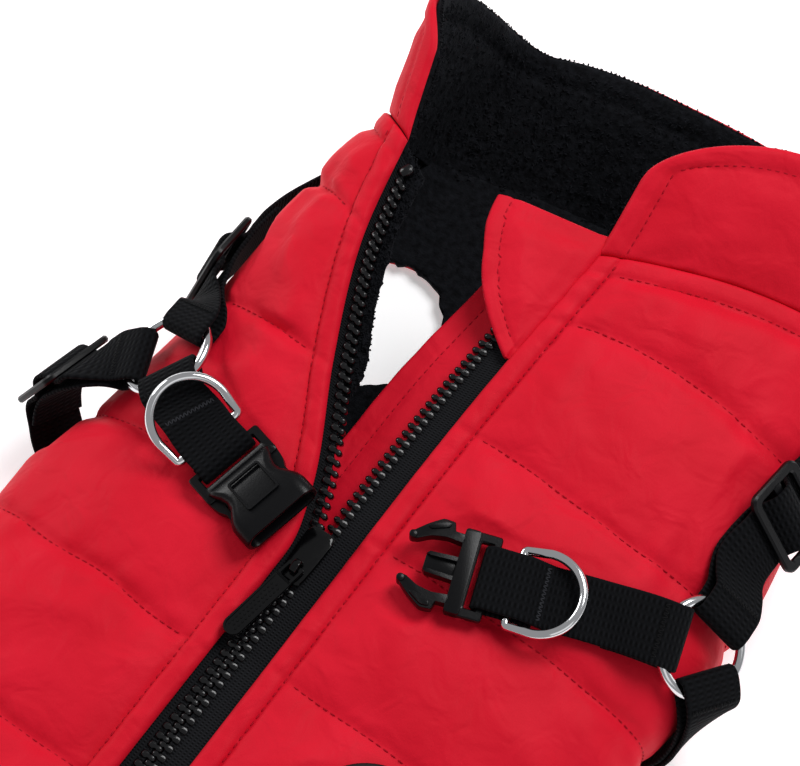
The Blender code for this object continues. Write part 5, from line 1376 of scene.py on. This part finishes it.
def dee(side, name, bar):
    """A D-ring: its bar in the strap's loop, its bow reaching out and standing up a little."""
    origin, u, v, w = bar
    origin = origin - u * DEE_BACK
    rest = math.radians(DEE_REST[side])
    out = -u * math.cos(rest) + w * math.sin(rest)
    up = w * math.cos(rest) + u * math.sin(rest)
    turn = np.linspace(-math.pi / 2, math.pi / 2, 61)
    bow = np.stack([DEE_DEPTH - DEE_HALF + DEE_HALF * np.cos(turn), DEE_HALF * np.sin(turn)], -1)
    curl = np.linspace(0, 1, 9)[:, None]
    top, low = np.array([0.6, DEE_HALF - 0.6]), np.array([0.0, DEE_HALF - DEE_CORNER])
    corner = top + (low - top) * curl + np.array([-0.25, 0.35]) * np.sin(math.pi * curl)
    straight = np.stack([np.zeros(22), np.linspace(low[1], -low[1], 24)[1:-1]], -1)
    line = np.concatenate([bow, corner, straight, corner[::-1] * (1, -1)])
    spaced = np.linalg.norm(np.roll(line, -1, axis=0) - line, axis=1)
    thing = wire_loop(name + "_wire", (origin, out, v, up), line[spaced > 0.05], DEE_WIRE, CHROME, name)
    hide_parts(name)


def round_box(u0, u1, v0, v1, radius, steps=5):
    """A rectangle's outline with round corners."""
    out = []
    for cu, cv, first in ((u1, v1, 0), (u0, v1, 90), (u0, v0, 180), (u1, v0, 270)):
        mu, mv = cu - radius * (1 if cu == u1 else -1), cv - radius * (1 if cv == v1 else -1)
        for k in range(steps + 1):
            a = math.radians(first + 90 * k / steps)
            out.append((mu + radius * math.cos(a), mv + radius * math.sin(a)))
    return np.array(out)


def frame_ring(where, outer, inner, half, soft):
    """A flat moulded ring between two outlines of as many points, with rounded arrises."""
    near, far = inner + (outer - inner) * (soft / 3.0), outer + (inner - outer) * (soft / 3.0)
    loops = [(outer, -half + soft), (outer, half - soft), (far, half), (near, half), (inner, half - soft),
             (inner, -half + soft), (near, -half), (far, -half)]
    points = np.concatenate([
        at_site(where, np.column_stack([line, np.full(len(line), height)])) for line, height in loops
    ])
    return points, skin(points, len(outer), True).tolist()


def merged(parts):
    """Several (points, faces) as one."""
    points, faces, shift = [], [], 0
    for some, theirs in parts:
        points.append(some)
        faces += [[int(i) + shift for i in face] for face in theirs]
        shift += len(some)
    return np.concatenate(points), faces


def on_site(where, shape):
    """A slab or bead from a site's own axes, turned to face outwards whichever hand they have."""
    points, faces = shape
    points = at_site(where, points)
    mirrored = np.cross(where[1], where[2]) @ where[3] < 0
    return points, [face[::-1] for face in faces] if mirrored else faces


def tri_glide(name, where):
    """A tri-glide: a moulded frame and a middle bar that the webbing passes over."""
    wide, long, half = GLIDE_WIDE / 2, GLIDE_LONG / 2, GLIDE_THICK / 2
    outer = round_box(-long, long, -wide, wide, 3.4)
    inner = round_box(-long + GLIDE_BAR, long - GLIDE_BAR, -wide + GLIDE_END, wide - GLIDE_END, 1.2)
    bar = round_box(-GLIDE_BAR / 2, GLIDE_BAR / 2, -wide + 1.5, wide - 1.5, 0.5)
    parts = [frame_ring(where, outer, inner, half, 0.55),
             on_site(where, slab(bar, ((-half, 0.94), (-half + 0.3, 1), (half - 0.3, 1), (half, 0.94))))]
    points, faces = merged(parts)
    thing = piece(name + "_frame", points, faces, NYLON, crease=40.0)
    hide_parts(name)


def lathe_box(where, stations):
    """A box-like tube along u, closed by a flat face at both ends. Each station gives u, the
    half width, the lowest and highest w and the corners' radius of its outline there."""
    loops = []
    for u, half, low, high, radius in stations:
        line = round_box(-half, half, low, high, radius, 7)
        loops.append(at_site(where, np.column_stack([np.full(len(line), u), line])))
    points = np.concatenate(loops)
    return points, capped(points, len(loops[0]))


def curved(line, steps):
    """A closed outline with steps points on each side, eased towards a smooth curve."""
    line = np.asarray(line, float)
    slopes = (np.roll(line, -1, axis=0) - np.roll(line, 1, axis=0)) * 0.22
    f = (np.arange(steps) / steps)[None, :, None]
    a, b = line[:, None], np.roll(line, -1, axis=0)[:, None]
    da, db = slopes[:, None], np.roll(slopes, -1, axis=0)[:, None]
    return eased(a, b, da, db, f).reshape(-1, 2)


def buckle_frame(where):
    """The thin plate at a buckle half's strap end, its bar and side arms round the window."""
    inside = STRAP_WIDE / 2 + 2 * GAP
    outer = round_box(-BUCKLE_BAR, BUCKLE_BASE, -BUCKLE_HALF, BUCKLE_HALF, 1.0)
    inner = round_box(BUCKLE_BAR, BUCKLE_WINDOW, -inside, inside, 0.5)
    return frame_ring(where, outer, inner, FRAME_THICK / 2, 0.4)


def rounded_slab(where, outline, half, soft, low=None):
    """A moulded plate: an outline with its arrises rounded by soft at the bottom and top."""
    low = -half if low is None else low
    size = np.ptp(np.asarray(outline), axis=0).mean()
    draw = 1 - 1.4 * soft / size
    levels = ((low, draw), (low + soft * 0.3, 1 - (1 - draw) * 0.35), (low + soft, 1), (half - soft, 1),
              (half - soft * 0.3, 1 - (1 - draw) * 0.35), (half, draw))
    return on_site(where, slab(outline, levels))


KNOB_AT, KNOB_RADIUS = (14.4, 6.5), 1.15


def buckle_male(where):
    """The plug half: a strap frame with a thick cross bar, two sprung arms whose barbed heads
    have a ridge and a knob at the tip, and a guide of two rails between them."""
    half = MALE_THICK / 2
    foot = BUCKLE_WINDOW + 2 * GAP
    parts = [buckle_frame(where)]
    bar = round_box(foot, BUCKLE_BASE + 0.7, -BUCKLE_HALF, BUCKLE_HALF, 0.9)
    parts.append(rounded_slab(where, bar, half, 0.5))
    for side in (1, -1):
        head = curved((np.array(BARB) + (BUCKLE_BASE, 0.0)) * (1, side), 4)
        parts.append(rounded_slab(where, head, half, 0.5))
        ridge = curved((np.array(RIDGE) + (BUCKLE_BASE, 0.0)) * (1, side), 4)
        parts.append(rounded_slab(where, ridge, half + 0.55, 0.4, half - 0.6))
        knob = around_points(KNOB_SIDES) * KNOB_RADIUS + (BUCKLE_BASE + KNOB_AT[0], KNOB_AT[1] * side)
        parts.append(rounded_slab(where, knob, half + 0.35, 0.3))
        rail = (np.array(RAIL) + (BUCKLE_BASE, 0.0)) * (1, side)
        parts.append(rounded_slab(where, rail, half - 0.1, 0.3))
    web = round_box(BUCKLE_BASE, BUCKLE_BASE + 9.4, -2.6, 2.6, 0.8)
    parts.append(rounded_slab(where, web, 0.6, 0.2))
    points, faces = merged(parts)
    thing = piece("buckle_plug", points, faces, NYLON, crease=35.0)
    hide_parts("buckle_male")


# An arm of the socket's body: along from its start, and out from its half width.
SOCKET_ARM = ((0.5, 0), (5.5, -0.6), (8.2, -1.9), (10.2, -1.7), (13.5, -0.2), (14.5, -3.0), (0.5, -3.5))
SQUARE_TILT, SQUARE_LEVEL = 0.07, 4.95  # of the raised square on top


def buckle_female(where):
    """The socket half: a strap frame; a body that is waisted where the plug's heads snap out and
    swells to a pill-shaped mouth, thin walled; and a raised square on top."""
    start, end, wall = BUCKLE_BASE - FRAME_THICK, FEMALE_END, FEMALE_WALL
    half, low, high = BUCKLE_HALF, FEMALE_LOW, FEMALE_HIGH
    stations = [
        (start - 0.2, 9.6, -1.2, 1.6, 0.9), (start, 10.4, -1.6, 2.2, 1.3),
        (start + 0.8, 10.9, -2.0, 3.0, 1.8),
        (start + 2.2, 10.4, -2.4, 4.0, 2.2), (start + 4.5, 9.3, low + 0.1, 4.9, 2.6),
        (start + 7.0, 8.8, low, 5.4, 2.9), (start + 9.2, 9.3, low, 5.7, 3.1),
        (start + 11.4, 10.9, low, 5.85, 3.5), (start + 13.2, 12.0, low, 5.95, 3.9),
        (start + 15.2, half, low, high, 4.2), (end - 0.7, half, low, high, 4.2),
        (end - 0.15, half - 0.2, low + 0.2, high - 0.2, 4.0), (end, half - 0.6, low + 0.6, high - 0.6, 3.6),
        (end - 0.15, half - wall + 0.15, low + wall - 0.2, high - wall + 0.2, 2.9),
        (end - 1.0, half - wall, low + wall, high - wall, 2.8),
        (BUCKLE_BASE + 9.0, half - wall - 1.2, low + wall, high - wall, 2.6),
        (BUCKLE_BASE + 1.5, 7.4, low + wall, 4.0 - wall, 1.6),
    ]
    parts = [buckle_frame(where), lathe_box(where, stations)]
    arm = np.array(SOCKET_ARM) + (start, half)
    for side in (1, -1):
        parts.append(rounded_slab(where, curved(arm * (1, side), 3), 0.4, 0.5, low + 0.3))
    origin, u, v, w = where
    top = (origin + w * SQUARE_LEVEL, unit(u + w * SQUARE_TILT), v, unit(w - u * SQUARE_TILT))
    outer = round_box(start + 3.6, start + 14.2, -5.6, 5.6, 0.9)
    inner = round_box(start + 4.3, start + 13.5, -4.9, 4.9, 0.5)
    parts.append(frame_ring(top, outer, inner, 0.5, 0.2))
    points, faces = merged(parts)
    thing = piece("buckle_socket", points, faces, NYLON, crease=35.0)
    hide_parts("buckle_female")


# Slider and pull


def zip_site():
    """The slider's site on the closed zip's middle line, u pointing to the neck."""
    right, left = (place(side, -TEETH_REACH[side], [0.0, -8.0], TAPE_LEVEL) for side in (1, -1))
    middle = (right + left) / 2
    ahead = unit(middle[0] - middle[1])
    up = unit(np.cross(np.array([1.0, 0, 0]), ahead))
    return middle[0], ahead, np.cross(up, ahead), up


def pull_axis():
    """The pull's hinge: the point above the slider, and the pull's own axes."""
    origin, ahead, left, up = zip_site()
    yaw = math.radians(PULL_YAW)
    flat, lift = left * math.sin(yaw) - ahead * math.cos(yaw), math.radians(PULL_LIFT)
    u, w = flat * math.cos(lift) + up * math.sin(lift), up * math.cos(lift) - flat * math.sin(lift)
    return origin + ahead * PULL_AXIS_AT + up * (PLATE_GAP + PLATE + PULL_RISE), u, np.cross(w, u), w


def slider():
    """The zip's slider: a domed upper plate with a shoulder, a lower plate, the post between
    them and the arch that holds the pull."""
    where = zip_site()
    plate = curved([*SLIDER_PLATE, *[(u, -v) for u, v in SLIDER_PLATE[::-1]]], 5)
    low, high = PLATE_GAP, PLATE_GAP + PLATE
    dome = ((low, 0.95), (low + 0.25, 1), (high - 0.5, 1), (high - 0.15, 0.95), (high, 0.85))
    back, front, half = SLIDER_UNDER
    under = round_box(back, front, -half, half, 1.4)
    below = ((-high, 0.9), (-high + 0.3, 1), (-low - 0.2, 1), (-low, 0.97))
    start, end = SLIDER_POST
    post = round_box(start, end, -1.2, 1.2, 0.3)
    parts = [on_site(where, slab(plate, dome)), on_site(where, slab(under, below)),
             on_site(where, slab(post, ((-low - 0.1, 1), (low + 0.1, 1))))]
    origin = pull_axis()[0]
    turn = np.linspace(-0.35, math.pi + 0.35, 22)
    rise = where[3] * np.sin(turn)[:, None] - where[1] * np.cos(turn)[:, None]
    centres = origin + rise * (ARCH_IN + ARCH_OUT) / 2
    thick = (ARCH_OUT - ARCH_IN) / 2
    round_bar = round_box(-ARCH_HALF, ARCH_HALF, -thick, thick, 0.35)
    parts.append(sweep(round_bar, centres, np.broadcast_to(where[2], centres.shape), rise))
    points, faces = merged(parts)
    thing = piece("slider_body", points, faces, ZINC, crease=35.0)
    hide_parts("zip_slider")


PULL_RIM, PULL_SHOULDER, EYE_SOFT = 0.75, 1.6, 0.3
GRIP = ((-0.55, 0), (0, -0.4), (0.55, 0), (0, 0.4))  # a lozenge for grip
GRIP_FROM, GRIP_TO, GRIP_STEP, GRIP_ROW, GRIP_OFFSET = 3.2, 3.0, 1.35, 1.2, 0.67


def pull():
    """The pull tab, lying back on the closed teeth: an eye on the arch, a flat tab with a raised
    rim, and small lozenges in its middle for grip."""
    where = pull_axis()
    half, long, thick = PULL_HALF, PULL_LENGTH, PULL_THICK / 2
    turn = np.linspace(-math.pi / 2, math.pi / 2, 21)
    end = np.stack([long - half + half * np.cos(turn), half * np.sin(turn)], -1)
    neck = np.array([(PULL_WINDOW, -PULL_EAR), (PULL_WINDOW + PULL_SHOULDER, -half)])
    outline = np.concatenate([neck, end, neck[::-1] * (1, -1)])
    core = ((-thick * 0.6, 0.97), (-thick * 0.5, 0.99), (thick * 0.5, 0.99), (thick * 0.6, 0.97))
    parts = [on_site(where, slab(outline, core))]
    ahead = unit(np.roll(outline, -1, axis=0) - np.roll(outline, 1, axis=0))
    inner = outline - np.stack([ahead[:, 1], -ahead[:, 0]], -1) * PULL_RIM
    parts.append(frame_ring(where, outline, inner, thick, 0.36))
    outer = round_box(-thick, PULL_WINDOW + 0.6, -PULL_EAR, PULL_EAR, 0.6)
    hole = round_box(thick, PULL_WINDOW, -PULL_EYE, PULL_EYE, 0.4)
    parts.append(frame_ring(where, outer, hole, thick, EYE_SOFT))
    grip, faces = slab(GRIP, ((0.3, 1.0), (0.55, 0.6)))
    for way in (1, -1):
        turned_faces = [face[::way] for face in faces]
        for u in np.arange(PULL_WINDOW + GRIP_FROM, long - GRIP_TO, GRIP_STEP):
            for v in (-GRIP_ROW, 0.0, GRIP_ROW):
                shift = np.array([u + (GRIP_OFFSET if v else 0.0), v, 0.0])
                parts.append(on_site(where, (grip * (1, 1, way) + shift, turned_faces)))
    points, faces = merged(parts)
    thing = piece("pull_tab", points, faces, ZINC, "zip_pull", crease=35.0)
    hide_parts("zip_pull")


# Patch


PATCH_SIDES = 120
PATCH_RINGS = np.array([0.02, 0.2, 0.4, 0.6, 0.76, 0.8, 0.82, 0.84, 0.88, 0.9, 0.92, 0.95, 0.975, 0.99, 1.0])
PATCH_DISC, PATCH_GROOVE, PATCH_RIM = 0.8, 0.25, 0.2  # shares of its full height
GROOVE_AT, RIM_FROM, ROUND_FROM, PATCH_BELOW = 0.82, 0.88, 0.95, 0.5


def patch():
    """A plain round rubber patch following the back: a smooth disc with a raised rim and one
    shallow groove inside it, its edge rounded over."""
    radii = PATCH_RINGS[:, None]
    full = PATCH_DISC + PATCH_RIM * smooth((radii - RIM_FROM) / 0.03)
    full = full - PATCH_GROOVE * np.exp(-(((radii - GROOVE_AT) / 0.02) ** 2))
    full = full * np.sqrt(np.clip(1 - ((radii - ROUND_FROM) / 0.0505).clip(0, 1) ** 2, 0.03, 1))
    spots = np.array(PATCH_AT) + PATCH_RADIUS * radii[..., None] * around_points(PATCH_SIDES)
    base = CROWN + GAP
    upper = place(1, spots[..., 0], spots[..., 1], base + PATCH_THICK * full)
    lower = place(1, spots[..., 0], spots[..., 1], base - PATCH_BELOW)
    points = np.concatenate([upper, lower[::-1]]).reshape(-1, 3)
    thing = piece("patch_disc", points, capped(points, PATCH_SIDES), RUBBER)
    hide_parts("round_patch")


# Stage


def floor():
    """A wide pale sweep of paper under the jacket, lit faintly from below as on a light table."""
    mesh = bpy.data.meshes.new("floor")
    far, low = 3.0, -0.0004
    corners = [(-far, -far, low), (far, -far, low), (far, far, low), (-far, far, low)]
    mesh.from_pydata(corners, [], [(0, 1, 2, 3)])
    made = look("pale_paper", {
        "Base Color": linear("F6F6F7"), "Roughness": 0.9, "Specular IOR Level": 0.1,
        "Emission Color": linear("FFFFFF"), "Emission Strength": 0.4,
    })[0]
    mesh.materials.append(made)
    thing = bpy.data.objects.new("floor", mesh)
    COLLECTION.objects.link(thing)


def area_light(name, at, size, power):
    """A square softbox in metres, turned to the jacket's middle."""
    data = bpy.data.lights.new(name, "AREA")
    data.shape, data.size, data.energy = "SQUARE", size, power
    thing = bpy.data.objects.new(name, data)
    thing.location = at
    thing.rotation_euler = (Vector((0, 0, 0.03)) - Vector(at)).to_track_quat("-Z", "Y").to_euler()
    COLLECTION.objects.link(thing)


def lights():
    """Even studio light: a big soft box overhead, one on each side and pale surroundings."""
    area_light("overhead_box", (0.25, 0.7, 1.1), 0.6, 11.5)
    area_light("left_box", (-1.1, 0.1, 0.6), 0.5, 5.6)
    area_light("right_box", (1.0, -0.5, 0.9), 0.9, 1.5)
    world = bpy.data.worlds.new("studio")
    world.use_nodes = True
    background = world.node_tree.nodes["Background"]
    background.inputs["Color"].default_value = linear("F7F8FA")
    background.inputs["Strength"].default_value = 0.38
    bpy.context.scene.world = world
    bpy.context.scene.view_settings.view_transform = "Standard"


def photo_camera():
    """The photograph's view: 36 degrees round to the right of the hem, 63 degrees down, 700 mm
    from the slider, which falls at pixel 311, 554 of 800 by 766."""
    azimuth, elevation, distance, focal = math.radians(36), math.radians(63), 700.0, 2500.0
    wide, seen, middle = 800.0, (311.0, 554.0), (400.0, 383.0)
    ahead = np.array([-math.sin(azimuth) * math.cos(elevation), math.cos(azimuth) * math.cos(elevation),
                      -math.sin(elevation)])
    right = np.array([math.cos(azimuth), math.sin(azimuth), 0.0])
    up = np.cross(right, ahead)
    ray = ahead + right * (seen[0] - middle[0]) / focal + up * (middle[1] - seen[1]) / focal
    eye = to_world(np.array([0.0, 0.0, 50.0]) - ray * distance)
    data = bpy.data.cameras.new("photo_camera")
    data.sensor_width = 36.0
    data.lens = data.sensor_width * focal / wide
    data.clip_end = 10.0
    thing = bpy.data.objects.new("photo_camera", data)
    columns = np.column_stack([right, up, -ahead, eye])
    thing.matrix_world = Matrix([*columns.tolist(), [0, 0, 0, 1]])
    COLLECTION.objects.link(thing)
    bpy.context.scene.camera = thing


def build():
    """Dresses the whole jacket."""
    for side, half in ((1, "right"), (-1, "left")):
        back_half(side, "quilted_" + half)
        zip_tape(side, "zip_tape_" + half)
        teeth(side, "teeth_" + half)
        ring(side, "ring_" + half)
        for kind in ("shoulder", "belly"):
            plan = STRAPS[(kind + "_strap", side)]
            name = kind + "_strap_" + half
            strip = strap(side, name, plan, plan["under"], plan["glide"])
            tack_at_ring(side, name, plan, strip)
            if strip[0] is not None:
                tri_glide(kind + "_glide_" + half, strip[0])
        centre = CENTRE_STRAPS[side]
        strip = strap(side, "centre_strap_" + half, centre, CENTRE_UNDER, None, DEE_BACK)
        tack_at_ring(side, "centre_strap_" + half, centre, strip)
        tack_at_bar("centre_strap_" + half, strip)
        dee(side, "dee_" + half, strip[0])
        if side > 0:
            buckle_male(strip[0])
        else:
            buckle_female(strip[0])
    belly()
    collar()
    wind_flap()
    chin_guard()
    left_facing()
    top_stops()
    slider()
    pull()
    patch()
    floor()
    lights()
    photo_camera()


build()
